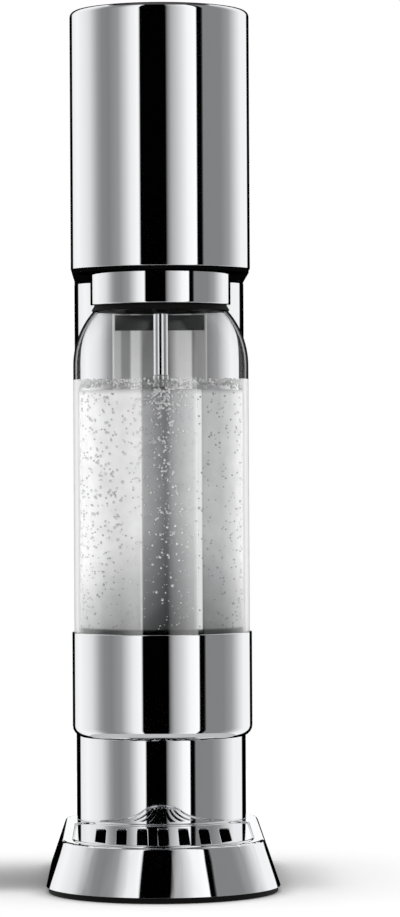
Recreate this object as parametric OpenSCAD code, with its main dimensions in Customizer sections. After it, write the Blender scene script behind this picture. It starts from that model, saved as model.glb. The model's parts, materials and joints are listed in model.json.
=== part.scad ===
// Sparkling water maker: a slim chrome carbonator with its bottle, drip tray and gas cylinder.
// Lengths are in millimetres. +Z is up, the front faces -Y, and the origin lies on the floor
// under the middle of the base. The bottle hangs on the front axis, the column stands on the rear one.

/* [Body] */
// Outside width of the head and of the column
body_d = 90; // [88:1:96]
// Distance from the bottle's axis to the column's axis
axis_gap = 114; // [110:1:122]
// Height of the head's top face
total_h = 441.5; // [400:0.5:480]
// Height of the head alone
head_h = 129.5; // [128:0.5:134]
// Rounding of the head's top edge
head_round = 5; // [3.5:0.5:6]
// Thickness of the chrome shells
sheet_t = 1.5; // [1.2:0.1:1.8]
// Thickness of the rim round the press plate
rim_t = 2.5; // [2:0.1:3]
// Height of the dark lip that shows under the head
lip_h = 1.8; // [1.2:0.1:2.4]

/* [Base] */
// Width of the base at its lower edge
base_low_w = 117.6; // [114:0.2:124]
// Width of the base at its top
base_top_w = 101.6; // [101:0.2:106]
// Height of the base's top face
base_h = 26.4; // [25:0.2:30]
// Height of the rubber foot under the chrome
foot_h = 3; // [2:0.1:3.6]
// Width of the rubber foot
foot_w = 7.6; // [5:0.1:9]
// Rounding of the base's top edge
base_round = 1.5; // [1:0.1:2.5]
// Thickness of the base's top
deck_t = 5; // [4.6:0.1:6]
// Thickness of the base's sloping wall
base_wall = 2; // [1.6:0.1:2.4]

/* [Drip tray] */
// Number of slots in the grille
slot_count = 7; // [3:2:7]
// Width of one slot
slot_w = 5; // [3:0.1:6]
// Distance between two slots
slot_pitch = 10.5; // [9.6:0.1:10.6]
// Border between the slots and the grille's front edge
slot_border = 8.5; // [6:0.1:10]
// Thickness of the grille
grille_t = 1.6; // [1.2:0.1:2]
// How far behind the bottle's axis the grille's horns end
horn_reach = 84; // [80:0.5:88]
// Rounding of the horns
horn_round = 5; // [4.8:0.1:6]
// Thickness of the tub
tub_t = 1.6; // [1.2:0.1:2]

/* [Bottle] */
// Outside width of the clear bottle
bottle_d = 88; // [84:0.5:89]
// Wall of the bottle
bottle_t = 2; // [1.6:0.1:2.6]
// Radius of the shoulder's arc
shoulder_r = 41.5; // [41:0.1:42]
// Outside width of the neck
neck_d = 48; // [46:0.5:50]
// Wall of the neck
neck_t = 3.2; // [2.6:0.1:3.6]
// Outside width of the cup round the bottle's foot
cup_d = 90.2; // [90:0.1:92]
// Height of the cup
cup_h = 52.4; // [46:0.2:60]
// Rounding of the cup's lower edge
cup_round = 5.5; // [4:0.5:7]
// Free height between the grille and the cup
cup_gap = 51.6; // [50.6:0.2:56]

/* [Holder] */
// Outside width of the holder ring
ring_d = 70.4; // [69:0.2:71.6]
// Wall of the holder ring
ring_t = 2; // [1.6:0.1:2.2]
// How far the ring hangs below the head
ring_drop = 18; // [17:0.5:18.5]
// Width of the carbonation tube
tube_d = 7.3; // [6:0.1:8]
// Depth of the tube's tip below the head's lower edge
tube_drop = 60.5; // [54:0.5:66]
// Height of the tip
tip_h = 7.5; // [6:0.5:9]

/* [Gas] */
// Width of the gas cylinder
cyl_d = 60; // [58:0.5:61]
// Height of the cylinder's valve above the head's lower edge
valve_rise = 83.4; // [82:0.1:84]
// Wall of the gas cylinder
cyl_t = 2.6; // [2.2:0.1:3.2]
// How far the carriage lowers the cylinder
cyl_drop = 6; // [5:0.1:6.2]
// Width of the gas pipe
pipe_d = 6; // [5:0.1:6.2]
// Radius of the pipe's bend
pipe_bend = 22; // [18:0.5:26]

/* [Press lever] */
// Gap round the press plate
press_gap = 0.8; // [0.6:0.05:1]
// Width of the rim round the press plate
press_border = 6.2; // [5.6:0.1:7]
// Thickness of the press plate
press_t = 3; // [2.6:0.1:3.4]
// Turns of the return spring
spring_turns = 7; // [5:1:8]
// Wire of the return spring
spring_wire = 1.4; // [1:0.1:1.8]

/* [Hidden] */
$fn = 96;
// Longer than anything that it cuts
far = 400;
// Clearances: round a turning shaft, round a fixed pin, between two pieces, and along the rear seam
run_gap = 0.05;
pin_gap = 0.02;
slip = 0.3;
seam = 0.25;

body_r = body_d / 2;
front_y = -axis_gap / 2;
rear_y = axis_gap / 2;
shell_ri = body_r - sheet_t;
head_z = total_h - head_h;

// Screws
screw_r = 1.5;
head_r = 3;
head_t = 1.6;
screw_grip = 8;

// Base
base_low_r = base_low_w / 2;
base_top_r = base_top_w / 2;
flare = (base_low_r - base_top_r) / (base_h - foot_h);
slope = sqrt(1 + flare * flare);
plate_t = 3;
plate_top = foot_h + plate_t;
plate_r = base_low_r - base_wall - flare * plate_t - slip;
foot_inset = 1.2;
foot_r = base_low_r - foot_inset;
deck_z = base_h - deck_t;
boss_r = 3.4;
boss_inset = 4;
boss_off = base_top_r - boss_inset;
boss_blind = 7;
rear_boss_turn = 45;

// Drip tray
rim_margin = 0.5;
insert_r = body_r + rim_margin;
column_margin = 1.5;
insert_back = body_r + column_margin;
horn_y = front_y + horn_reach;
tray_gap = 0.4;
rest_t = 1.2;
ledge_z = base_h - grille_t - rest_t;
ledge_w = 2.4;
tub_gap = 2;
tub_z = plate_top + tub_gap;
slot_arc = insert_r - slot_border;
slot_reach = 52;
slot_rear = front_y + slot_reach;

// Column and rear cover
frame_ro = shell_ri - slip;
frame_t = 2.9;
frame_ri = frame_ro - frame_t;
frame_stop = 8;
frame_back = rear_y - frame_stop;
frame_foot_t = 4;
frame_foot_edge = 1;
frame_foot_r = shell_ri - frame_foot_edge;
frame_boss_h = 24;
frame_boss_in = 3;
bay_gap = 1.5;
bay_r = cyl_d / 2 + bay_gap;
frame_screw_out = 5.2;
frame_screw_off = bay_r + frame_screw_out;
lip_z = head_z - lip_h;
lip_inset = 0.6;
cover_lift = 0.6;
cover_z = base_h + cover_lift;
cover_drop = 17;
cover_top = total_h - cover_drop;
cover_gap = 0.4;
lap_t = 1.3;
lap_forward = 4;
lap_front = rear_y - lap_forward;
lap_behind = 6;
lap_back = rear_y + lap_behind;
lap_inset = 8;
lap_low = cover_z + lap_inset;
lap_top = cover_top - lap_behind;

// Head
deck_rise = 40;
mech_z = head_z + deck_rise;
mech_t = 4;
mech_top = mech_z + mech_t;
mech_gap = 0.7;
mech_r = shell_ri - mech_gap;
shell_boss_r = 4.5;
shell_boss_in = 4;
shell_boss_x = shell_ri - shell_boss_in;
shell_boss_h = 14;
shell_boss_reach = 37;
shell_boss_rear = rear_y - shell_boss_reach;
cheek_in = 21.5;
cheek_t = 3;
cheek_out = cheek_in + cheek_t;
bay_reach = 34;
bay_front = rear_y - bay_reach;
plate_post_in = 7.5;
plate_post_x = shell_ri - plate_post_in;
plate_post_reach = 55;
plate_post_y = front_y + plate_post_reach;
plate_post_r = 4.5;
plate_post_hole = 14;
plate_short = 20;
opening_edge = 2;
opening_r = shell_ri - opening_edge;
rim_open_r = body_r - press_border;

// Bottle
bottle_r = bottle_d / 2;
cup_z = base_h + cup_gap;
cup_r = cup_d / 2;
cup_floor = 2;
cup_fit = 0.1;
bottle_z = cup_z + cup_floor;
bottle_floor = 3;
bottle_round = 7;
neck_r = neck_d / 2;
neck_top = head_z;
arc_mid = bottle_r - shoulder_r;
arc_rise = sqrt(shoulder_r * shoulder_r - (neck_r - arc_mid) * (neck_r - arc_mid));
neck_h = 12.6;
neck_z = head_z - neck_h;
shoulder_z = neck_z - arc_rise;
bead_out = 2.6;
bead_r = neck_r + bead_out;
bead_lift = 3.6;
bead_z = neck_z + bead_lift;
bead_h = 3;

// Holder
ring_r = ring_d / 2;
ring_ri = ring_r - ring_t;
ring_z = head_z - ring_drop;
ring_rise = 8;
ring_top = head_z + ring_rise;
seal_h = 2.2;
block_low = head_z + slip + seal_h;
block_rise = 14;
block_top = head_z + block_rise;
pivot_reach = 34;
pivot_y = front_y + pivot_reach;
pivot_rise = 16;
pivot_z = head_z + pivot_rise;
pivot_r = 3;
knuckle_r = 5.5;
knuckle_w = 10.2;
knuckle_root = 20;
ear_in = 10.5;
ear_t = 3;
ear_r = 6;
ear_gap = 1.5;
pin_end = 1;
seal_lap = 2;
seal_ro = neck_r + seal_lap;
seal_ri = 7;
liner_gap = 0.7;
liner_ri = bead_r + liner_gap;
liner_lift = 0.6;
liner_z = neck_z + liner_lift;
tube_r = tube_d / 2;
tube_bore = 1.6;
tube_seat = 1;
tip_z = head_z - tube_drop;
tip_over = 0.35;
tip_r = tube_r + tip_over;
tip_bore = 0.8;
hub_r = 9;
hub_h = 10;
hub_open_r = 26;
relief_x = -16;
relief_r = 4.5;
relief_stem = 3.5;
relief_deep = 4;
relief_h = 15;

// Gas cylinder and carriage
cyl_r = cyl_d / 2;
seat_t = 3;
seat_top = plate_top + seat_t;
seat_margin = 3.4;
seat_r = cyl_r + seat_margin;
seat_rim = 2;
seat_rim_h = 5;
seat_gap = 0.4;
cyl_z = seat_top + cyl_drop + seat_gap;
cyl_top = head_z + valve_rise;
valve_h = 55;
valve_z = cyl_top - valve_h;
cyl_neck_r = cyl_r / 2;
cyl_neck_deep = 14;
cyl_shoulder_h = 53;
cyl_round = 6;
ogive_side = cyl_r - cyl_neck_r;
ogive_r = (ogive_side * ogive_side + cyl_shoulder_h * cyl_shoulder_h) / (2 * ogive_side);
cyl_bore = 8;
valve_stem = 9;
valve_low_r = 14.5;
flange_r = 19;
flange_t = 3;
flange_drop = 37.1;
flange_z = cyl_top - flange_drop;
valve_mid_r = 14;
valve_tip_h = 20;
valve_tip_z = cyl_top - valve_tip_h;
valve_tip_r = 10.5;
valve_pin_r = 3.2;
valve_pin_deep = 12;
fork_t = 4;
fork_z = flange_z - fork_t;
fork_gap = 0.4;
fork_r = valve_low_r + fork_gap;
fork_x = cheek_in - slip;
fork_forward = 26;
fork_front = rear_y - fork_forward;
fork_behind = 12;
fork_back = rear_y + fork_behind;
fork_ear_in = 13.2;
fork_ear_out = 16.4;
fork_ear_w = 11.4;
fork_ear_back = fork_front + fork_ear_w;
fork_ear_drop = 15;
fork_ear_top = cyl_top - fork_ear_drop;
hook_forward = 11;
hook_y = rear_y - hook_forward;
hook_drop = 23.4;
hook_z = cyl_top - hook_drop;
hook_r = 2.5;
connect_turn = 42;
cam_arm = cyl_drop / sin(connect_turn);
cam_r = 1.8;
cam_gap = 0.5;
arm_in = 17.2;
arm_out = 20.6;
arm_half = 5;
arm_nose = 4;
arm_front = hook_y - cam_arm - arm_nose;
grip_reach = 31;
grip_y = rear_y + grip_reach;
grip_t = 6;
grip_back = grip_y + grip_t;

// Valve block, push rod and gas pipe
socket_deep = 5.5;
block_z = cyl_top - socket_deep;
block_r = 16;
block_h = 23.1;
gas_top = block_z + block_h;
socket_gap = 0.4;
socket_r = valve_tip_r + socket_gap;
seal_t = 1.5;
rod_r = 2.5;
rod_lift = 0.8;
lug_forward = 24;
lug_front = rear_y - lug_forward;
lug_w = 14;
lug_back = lug_front + lug_w;
lug_lift = 3;
lug_z = block_z + lug_lift;
lug_h = 16;
lug_screw_in = 6;
lug_screw_y = lug_front + lug_screw_in;
lug_screw_end = 4;
lug_grip = 7;
pipe_r = pipe_d / 2;
pipe_wall = 1.5;
pipe_bore = pipe_r - pipe_wall;
pipe_x = 17;
pipe_lift = 11;
pipe_z = block_z + pipe_lift;
pipe_end = 1;
port_deep = 3;
nut_r = 4.3;
nut_l = 8;
elbow_r = 5;
elbow_in = ear_in + ear_t;
elbow_out = 20.5;
elbow_wall = 2;
elbow_rise = 15;
elbow_top = pivot_z + elbow_rise;
pipe_front = pivot_y + pipe_bend;

// Press lever
press_r = rim_open_r - press_gap;
press_z = total_h - press_t;
hinge_inset = 16;
hinge_y = rear_y + body_r - hinge_inset;
hinge_drop = 9.5;
hinge_z = total_h - hinge_drop;
hinge_r = 2;
barrel_r = 5;
beam_h = 7;
beam_w = 9;
beam_z = press_z - beam_h;
beam_reach = 17;
beam_front = front_y + beam_reach;
stop_l = 10;
stop_lap = 2.2;
stop_x = rim_open_r + stop_lap;
stop_h = 5.5;
cheek_edge = 5;
cheek_back = hinge_y + cheek_edge;
cheek_gap = 3;
cheek_top = beam_z - cheek_gap;
cheek_rise = 20;
cheek_step = 6;
cheek_ramp = 13;
rod_drop = 7;
rod_top = beam_z - rod_drop;
rod_head_r = 5.5;
rod_head_t = 3;
foot_gap = 0.3;
lever_screw_in = 4.5;
lever_screw_sink = 0.5;
lever_screw_reach = 22;
lever_screw_bite = 1.8;
post_y = 0;
post_h = 44;
post_top = mech_top + post_h;
post_r = 9.5;
pilot_r = 4.6;
pilot_h = 8;
spring_r = 7;
rod_wire = 0.9;
rod_spring_r = 4;
rod_turns = 4;
coil_rings = 8;
coil_sides = 6;

// Shared forms

// Carries a profile of radius and height round the long oval that both axes share
module oval_sweep() {
    translate([0, front_y, 0]) rotate([0, 0, 180]) rotate_extrude(angle = 180) children();
    translate([0, rear_y, 0]) rotate_extrude(angle = 180) children();
    translate([0, rear_y, 0]) rotate([90, 0, 0]) linear_extrude(axis_gap) children();
    translate([0, front_y, 0]) rotate([90, 0, 180]) linear_extrude(axis_gap) children();
}

// A flat oval plate
module oval_plate(r, z, t) {
    oval_sweep() translate([0, z]) square([r, t]);
}

// A ring between two radii
module ring(ro, ri, z, h) {
    translate([0, 0, z]) difference() {
        cylinder(r = ro, h = h);
        translate([0, 0, -1]) cylinder(r = ri, h = h + 2);
    }
}

// Half of a ring, the half in front of the rear axis or the half behind it
module half_ring(ro, ri, z, h, behind) {
    translate([0, rear_y, z])
        rotate([0, 0, behind ? 0 : 180])
            rotate_extrude(angle = 180)
                translate([ri, 0]) square([ro - ri, h]);
}

// A round bar along X
module bar_x(r, x0, x1, y, z) {
    translate([x0, y, z]) rotate([0, 90, 0]) cylinder(r = r, h = x1 - x0);
}

// A block given by its limits
module block(x0, x1, y0, y1, z0, z1) {
    translate([x0, y0, z0]) cube([x1 - x0, y1 - y0, z1 - z0]);
}

// A screw with a round head under its shank
module screw_up(z, shank) {
    translate([0, 0, z]) cylinder(r = head_r, h = head_t);
    translate([0, 0, z + head_t]) cylinder(r = screw_r, h = shank);
}

// A screw with its shank under a round head
module screw_down(z, shank) {
    mirror([0, 0, 1]) screw_up(-z, shank);
}

// The crescent between the base's front rim and the column
module crescent(inset) {
    difference() {
        union() {
            translate([0, front_y]) circle(insert_r - inset);
            translate([-insert_r + inset, front_y])
                square([2 * (insert_r - inset), horn_reach - horn_round]);
            translate([-insert_r + horn_round, front_y])
                square([2 * (insert_r - horn_round), horn_reach - inset]);
            for (s = [-1, 1])
                translate([s * (insert_r - horn_round), horn_y - horn_round])
                    circle(horn_round - inset);
        }
        translate([0, rear_y]) circle(insert_back + inset);
    }
}

// One point on a coil's centre line
function coil_point(i, r, z, rise, steps) =
    [r * cos(360 * i / coil_rings), r * sin(360 * i / coil_rings), z + rise * i / steps];

// The least free gap between one turn of a coil and the next
function coil_gap(r, rise, steps, wire) =
    min([for (i = [0 : steps - coil_rings])
        for (j = [i + coil_rings - 2 : min(steps, i + coil_rings + 2)])
            norm(coil_point(i, r, 0, rise, steps) - coil_point(j, r, 0, rise, steps))]) - wire;

// A coil spring as one unbroken tube
module coil(r, wire, turns, z0, z1) {
    steps = turns * coil_rings;
    rise = z1 - z0 - wire;
    echo(str("least gap in coil: ", coil_gap(r, rise, steps, wire), " mm"));
    points = [for (i = [0 : steps]) for (k = [0 : coil_sides - 1])
        let (a = 360 * i / coil_rings, b = 360 * k / coil_sides, out = r + wire / 2 * cos(b))
        [out * cos(a), out * sin(a), z0 + wire / 2 + rise * i / steps + wire / 2 * sin(b)]];
    sides = [for (i = [0 : steps - 1]) for (k = [0 : coil_sides - 1])
        let (n = (k + 1) % coil_sides, p = i * coil_sides, q = p + coil_sides)
        each [[p + k, p + n, q + n], [p + k, q + n, q + k]]];
    start = [for (k = [coil_sides - 1 : -1 : 0]) k];
    end = [for (k = [0 : coil_sides - 1]) steps * coil_sides + k];
    polyhedron(points = points, faces = concat([start], sides, [end]));
}

// Base

// Section of the base: sloping side, rounded rim and flat top
module base_section() {
    mid_z = base_h - base_round;
    mid_r = base_top_r + flare * base_round - base_round * slope;
    side_r = mid_r + base_round / slope;
    side_z = mid_z + base_round * flare / slope;
    polygon([[0, foot_h], [base_low_r, foot_h], [side_r, side_z],
             [mid_r, mid_z], [mid_r, base_h], [0, base_h]]);
    translate([mid_r, mid_z]) circle(base_round);
}

// Section of the hollow under the base's top
module base_hollow() {
    top_r = base_top_r + flare * deck_t - base_wall;
    low_r = base_low_r - base_wall;
    polygon([[0, foot_h - 1], [low_r + flare, foot_h - 1], [top_r, deck_z], [0, deck_z]]);
}

// Places of the four base screws
module at_base_screws() {
    for (s = [-1, 1]) {
        translate([s * boss_off, front_y, 0]) children();
        translate([0, rear_y, 0]) rotate([0, 0, 90 - s * rear_boss_turn])
            translate([boss_off, 0, 0]) children();
    }
}

// Places of the three screws under the column's frame
module at_frame_screws() {
    for (a = [90, 210, 330])
        translate([0, rear_y, 0]) rotate([0, 0, a]) translate([frame_screw_off, 0, 0]) children();
}

module base_cover() {
    color("silver") difference() {
        union() {
            difference() {
                oval_sweep() base_section();
                oval_sweep() base_hollow();
            }
            at_base_screws() translate([0, 0, plate_top]) cylinder(r = boss_r, h = deck_z - plate_top + 1);
        }
        translate([0, 0, ledge_z]) linear_extrude(deck_t) crescent(0);
        translate([0, 0, deck_z - 1]) linear_extrude(deck_t) crescent(ledge_w);
        translate([0, rear_y, deck_z - 1]) cylinder(r = bay_r, h = deck_t + 2);
        at_frame_screws() translate([0, 0, deck_z - 1]) cylinder(r = screw_r + run_gap, h = deck_t + 2);
        at_base_screws() translate([0, 0, plate_top - 1])
            cylinder(r = screw_r + run_gap, h = deck_z - plate_top);
    }
}

module base_plate() {
    color("dimgray") difference() {
        oval_plate(plate_r, foot_h, plate_t);
        at_base_screws() translate([0, 0, foot_h - 1]) cylinder(r = head_r + slip, h = head_t + 1);
        at_base_screws() translate([0, 0, foot_h]) cylinder(r = screw_r + run_gap, h = plate_t + 1);
    }
}

module foot_ring() {
    color("black") oval_sweep() translate([foot_r - foot_w, 0]) square([foot_w, foot_h]);
}

module base_screws() {
    color("gray") at_base_screws() screw_up(foot_h, deck_z - foot_h - boss_blind);
}

module cylinder_seat() {
    color("black") translate([0, rear_y, 0]) {
        translate([0, 0, plate_top]) cylinder(r = seat_r, h = seat_top - plate_top);
        ring(seat_r, seat_r - seat_rim, seat_top, seat_rim_h);
    }
}

// Drip tray

module drip_tub() {
    color("dimgray") {
        difference() {
            union() {
                translate([0, 0, ledge_z]) linear_extrude(rest_t) crescent(tray_gap);
                translate([0, 0, tub_z]) linear_extrude(ledge_z - tub_z) crescent(ledge_w + tray_gap);
            }
            translate([0, 0, tub_z + tub_t])
                linear_extrude(deck_t + base_h) crescent(ledge_w + tray_gap + tub_t);
        }
    }
}

// The long slots, cut off by the front arc and a straight rear line
module slots() {
    intersection() {
        for (i = [0 : slot_count - 1])
            translate([(i - (slot_count - 1) / 2) * slot_pitch - slot_w / 2, front_y - insert_r])
                square([slot_w, slot_rear - front_y + insert_r]);
        union() {
            translate([0, front_y]) circle(slot_arc);
            translate([-slot_arc, front_y]) square([2 * slot_arc, slot_rear - front_y]);
        }
    }
}

module drip_grille() {
    color("silver") translate([0, 0, base_h - grille_t]) linear_extrude(grille_t) difference() {
        crescent(tray_gap);
        slots();
    }
}

// Column

module column_shell() {
    color("silver") half_ring(body_r, shell_ri, base_h, lip_z - base_h, false);
}

// Places of the two screws between the frame and the chassis
module at_mech_screws() {
    for (a = [210, 330])
        translate([0, rear_y, 0]) rotate([0, 0, a]) translate([frame_ri - frame_boss_in, 0, 0]) children();
}

module column_frame() {
    color("dimgray") difference() {
        union() {
            difference() {
                half_ring(frame_ro, frame_ri, base_h, mech_z - base_h, false);
                block(-far, far, frame_back, rear_y + 1, base_h - 1, mech_z + 1);
            }
            translate([0, rear_y, 0]) ring(frame_foot_r, bay_r, base_h, frame_foot_t);
            at_mech_screws() translate([0, 0, mech_z - frame_boss_h])
                cylinder(r = plate_post_r, h = frame_boss_h);
        }
        at_frame_screws() translate([0, 0, base_h - 1])
            cylinder(r = screw_r + pin_gap, h = frame_foot_t + 2);
        at_mech_screws() translate([0, 0, mech_z - frame_boss_h / 2])
            cylinder(r = screw_r + pin_gap, h = frame_boss_h);
    }
}

module frame_screws() {
    color("gray") at_frame_screws() screw_up(deck_z - head_t, deck_t + frame_foot_t);
}

module rear_cover() {
    color("silver") {
        difference() {
            half_ring(body_r, shell_ri, cover_z, cover_top - cover_z, true);
            block(-far, far, rear_y - 1, rear_y + seam, cover_z - 1, cover_top + 1);
        }
        difference() {
            intersection() {
                translate([0, rear_y, 0]) ring(shell_ri, frame_ro - lap_t, lap_low, lap_top - lap_low);
                block(-far, far, lap_front, lap_back, lap_low - 1, cover_top);
            }
            intersection() {
                translate([0, rear_y, 0]) ring(shell_ri + 1, frame_ro, lap_low - 1, cover_top);
                block(-far, far, lap_front - 1, rear_y + seam, lap_low - 1, cover_top);
            }
        }
    }
}

// Head

// Section of a wall with a rounded top edge
module round_top(r, z0, z1, round) {
    translate([0, z0]) square([r, z1 - round - z0]);
    translate([0, z0]) square([r - round, z1 - z0]);
    translate([r - round, z1 - round]) circle(round);
}

// Places of the four screws that hold the shell to the chassis
module at_shell_screws() {
    for (s = [-1, 1]) {
        translate([s * shell_boss_x, front_y, 0]) children();
        translate([s * shell_boss_x, shell_boss_rear, 0]) children();
    }
}

module head_shell() {
    color("silver") difference() {
        union() {
            oval_sweep() difference() {
                round_top(body_r, head_z, total_h, head_round);
                round_top(shell_ri, head_z - 1, total_h - rim_t, head_round - sheet_t);
                translate([0, head_z]) square([rim_open_r, total_h]);
            }
            at_shell_screws() translate([0, 0, mech_top]) cylinder(r = shell_boss_r, h = shell_boss_h);
        }
        block(-far, far, rear_y - seam, rear_y + far, head_z - 1, cover_top + cover_gap);
        at_shell_screws() translate([0, 0, mech_top - 1])
            cylinder(r = screw_r + pin_gap, h = shell_boss_h - 2);
    }
}

// Places of the two posts that hold the underside
module at_plate_posts() {
    for (s = [-1, 1]) translate([s * plate_post_x, plate_post_y, 0]) children();
}

module head_underplate() {
    color("black") difference() {
        union() {
            oval_plate(body_r - lip_inset, lip_z, lip_h);
            oval_plate(frame_ro, head_z, plate_t);
            at_plate_posts() translate([0, 0, head_z]) cylinder(r = plate_post_r, h = mech_z - head_z);
        }
        translate([0, front_y, lip_z - 1]) cylinder(r = opening_r, h = far / 2);
        translate([0, rear_y, lip_z - 1]) cylinder(r = shell_ri, h = far / 2);
        block(-far, far, rear_y - seam, rear_y + far, lip_z - 1, head_z + 1);
        block(-far, far, rear_y - plate_short, rear_y + far, head_z, mech_z);
        at_plate_posts() translate([0, 0, mech_z - plate_post_hole])
            cylinder(r = screw_r + pin_gap, h = plate_post_hole + 1);
    }
}

// Side view of one cheek that carries the valve block and the lever's pin
module cheek_side() {
    polygon([[bay_front, mech_z], [frame_back, mech_z], [cheek_back, cheek_top - cheek_rise],
             [cheek_back, hinge_z + cheek_edge], [hinge_y - cheek_step, hinge_z + cheek_edge],
             [hinge_y - cheek_ramp, cheek_top], [bay_front, cheek_top]]);
}

module head_chassis() {
    color("gray") difference() {
        union() {
            difference() {
                oval_plate(mech_r, mech_z, mech_t);
                block(-far, far, frame_back, rear_y + far, mech_z - 1, mech_top + 1);
                block(-cheek_in, cheek_in, bay_front, rear_y, mech_z - 1, mech_top + 1);
                translate([0, front_y, mech_z - 1]) cylinder(r = hub_open_r, h = mech_t + 2);
            }
            for (s = [-1, 1]) {
                translate([s > 0 ? cheek_in : -cheek_out, 0, 0])
                    rotate([90, 0, 90]) linear_extrude(cheek_t) cheek_side();
                translate([s > 0 ? ear_in : -ear_in - ear_t, 0, 0]) {
                    block(0, ear_t, pivot_y - ear_r, pivot_y + ear_r, pivot_z, mech_z + 1);
                    bar_x(ear_r, 0, ear_t, pivot_y, pivot_z);
                }
            }
            translate([0, post_y, mech_z]) cylinder(r = post_r, h = post_top - mech_z);
            translate([0, post_y, mech_z]) cylinder(r = pilot_r, h = post_top + pilot_h - mech_z);
        }
        bar_x(pivot_r + pin_gap, -far, far, pivot_y, pivot_z);
        bar_x(hinge_r + pin_gap, -far, far, hinge_y, hinge_z);
        bar_x(hook_r + pin_gap, -far, far, hook_y, hook_z);
        at_lug_screws() bar_x(screw_r + pin_gap, -far, far, 0, 0);
        translate([pipe_x, pivot_y, mech_z - 1]) cylinder(r = pipe_r + slip, h = mech_t + 2);
        at_shell_screws() translate([0, 0, mech_z - 1]) cylinder(r = screw_r + run_gap, h = mech_t + 2);
        at_mech_screws() translate([0, 0, mech_z - 1]) cylinder(r = screw_r + run_gap, h = mech_t + 2);
        at_plate_posts() translate([0, 0, mech_z - 1]) cylinder(r = screw_r + run_gap, h = mech_t + 2);
    }
}

module chassis_screws() {
    color("gray") {
        at_shell_screws() screw_up(mech_z - head_t, mech_t + screw_grip);
        at_mech_screws() screw_down(mech_top + head_t, mech_t + screw_grip);
        at_plate_posts() screw_down(mech_top + head_t, mech_t + screw_grip);
    }
}

// Gas

// Heights of the two screws in each of the valve block's lugs
module at_lug_screws() {
    for (z = [lug_z + lug_screw_end, lug_z + lug_h - lug_screw_end])
        translate([0, lug_screw_y, z]) children();
}

module valve_block() {
    color("goldenrod") difference() {
        union() {
            translate([0, rear_y, block_z]) cylinder(r = block_r, h = block_h);
            block(-cheek_in, cheek_in, lug_front, lug_back, lug_z, lug_z + lug_h);
        }
        translate([0, rear_y, block_z - 1]) cylinder(r = socket_r, h = socket_deep + seal_t + 1);
        translate([0, rear_y, block_z]) cylinder(r = rod_r + run_gap, h = block_h + 1);
        at_lug_screws() bar_x(screw_r + pin_gap, -far, far, 0, 0);
        translate([pipe_x, lug_front - 1, pipe_z]) rotate([-90, 0, 0])
            cylinder(r = pipe_bore, h = port_deep + 1);
    }
}

module block_screws() {
    color("gray") at_lug_screws() for (s = [0, 1]) mirror([s, 0, 0]) {
        bar_x(head_r, cheek_out, cheek_out + head_t, 0, 0);
        bar_x(screw_r, cheek_out - cheek_t - lug_grip, cheek_out, 0, 0);
    }
}

module inlet_seal() {
    color("black") translate([0, rear_y, 0]) ring(socket_r, valve_pin_r + slip, cyl_top, seal_t);
}

module pipe_nut() {
    color("goldenrod") translate([pipe_x, lug_front - nut_l, pipe_z]) rotate([-90, 0, 0]) difference() {
        cylinder(r = nut_r, h = nut_l);
        translate([0, 0, -pipe_end]) cylinder(r = pipe_r + pin_gap, h = nut_l);
        translate([0, 0, -1]) cylinder(r = pipe_bore, h = nut_l + 2);
    }
}

// The pipe: out of the valve block, forward, and down to the elbow on the holder's pin
module pipe_form(r) {
    translate([pipe_x, pipe_front, pipe_z]) rotate([-90, 0, 0])
        cylinder(r = r, h = lug_front - pipe_end - pipe_front);
    translate([pipe_x, pipe_front, pipe_z - pipe_bend]) rotate([90, 0, 90]) rotate([0, 0, 90])
        rotate_extrude(angle = 90) translate([pipe_bend, 0]) circle(r);
    translate([pipe_x, pivot_y, elbow_top]) cylinder(r = r, h = pipe_z - pipe_bend - elbow_top);
}

module gas_pipe() {
    color("silver") difference() {
        pipe_form(pipe_r);
        pipe_form(pipe_bore);
    }
}

module swivel_elbow() {
    color("goldenrod") difference() {
        union() {
            bar_x(elbow_r, elbow_in, elbow_out, pivot_y, pivot_z);
            translate([pipe_x, pivot_y, pivot_z]) cylinder(r = pipe_r, h = elbow_top - pivot_z);
        }
        bar_x(pivot_r + pin_gap, elbow_in - 1, elbow_out - elbow_wall, pivot_y, pivot_z);
        translate([pipe_x, pivot_y, pivot_z]) cylinder(r = pipe_bore, h = elbow_top - pivot_z + 1);
    }
}

module push_rod() {
    color("gray") translate([0, rear_y, 0]) {
        translate([0, 0, cyl_top + rod_lift])
            cylinder(r = rod_r, h = rod_top - rod_head_t - cyl_top - rod_lift);
        translate([0, 0, rod_top - rod_head_t]) cylinder(r = rod_head_r, h = rod_head_t);
    }
}

module rod_spring() {
    color("silver") translate([0, rear_y, 0])
        coil(rod_spring_r, rod_wire, rod_turns, gas_top, rod_top - rod_head_t);
}

// Press lever

module press_plate() {
    color("silver") difference() {
        oval_plate(press_r, press_z, press_t);
        at_lever_screws() translate([0, 0, press_z - 1]) cylinder(r = screw_r + pin_gap, h = press_t);
    }
}

// Places of the screws between the arm and the plate
module at_lever_screws() {
    for (y = [beam_front + stop_l / 2, post_y + lever_screw_reach]) for (s = [-1, 1])
        translate([s * (beam_w - lever_screw_in), y, 0]) children();
}

module lever_arm() {
    color("dimgray") difference() {
        union() {
            block(-beam_w, beam_w, beam_front, hinge_y, beam_z, press_z);
            block(-stop_x, stop_x, beam_front, beam_front + stop_l, press_z - stop_h, press_z);
            bar_x(barrel_r, -cheek_in + slip, cheek_in - slip, hinge_y, hinge_z);
            translate([0, rear_y, rod_top + foot_gap]) cylinder(r = rod_head_r, h = beam_z - rod_top);
        }
        bar_x(hinge_r + run_gap, -far, far, hinge_y, hinge_z);
        at_lever_screws() translate([0, 0, beam_z - 1])
            cylinder(r = head_r + slip, h = lever_screw_sink + head_t + 1);
        at_lever_screws() translate([0, 0, beam_z - 1]) cylinder(r = screw_r + run_gap, h = beam_h + 2);
    }
}

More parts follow.
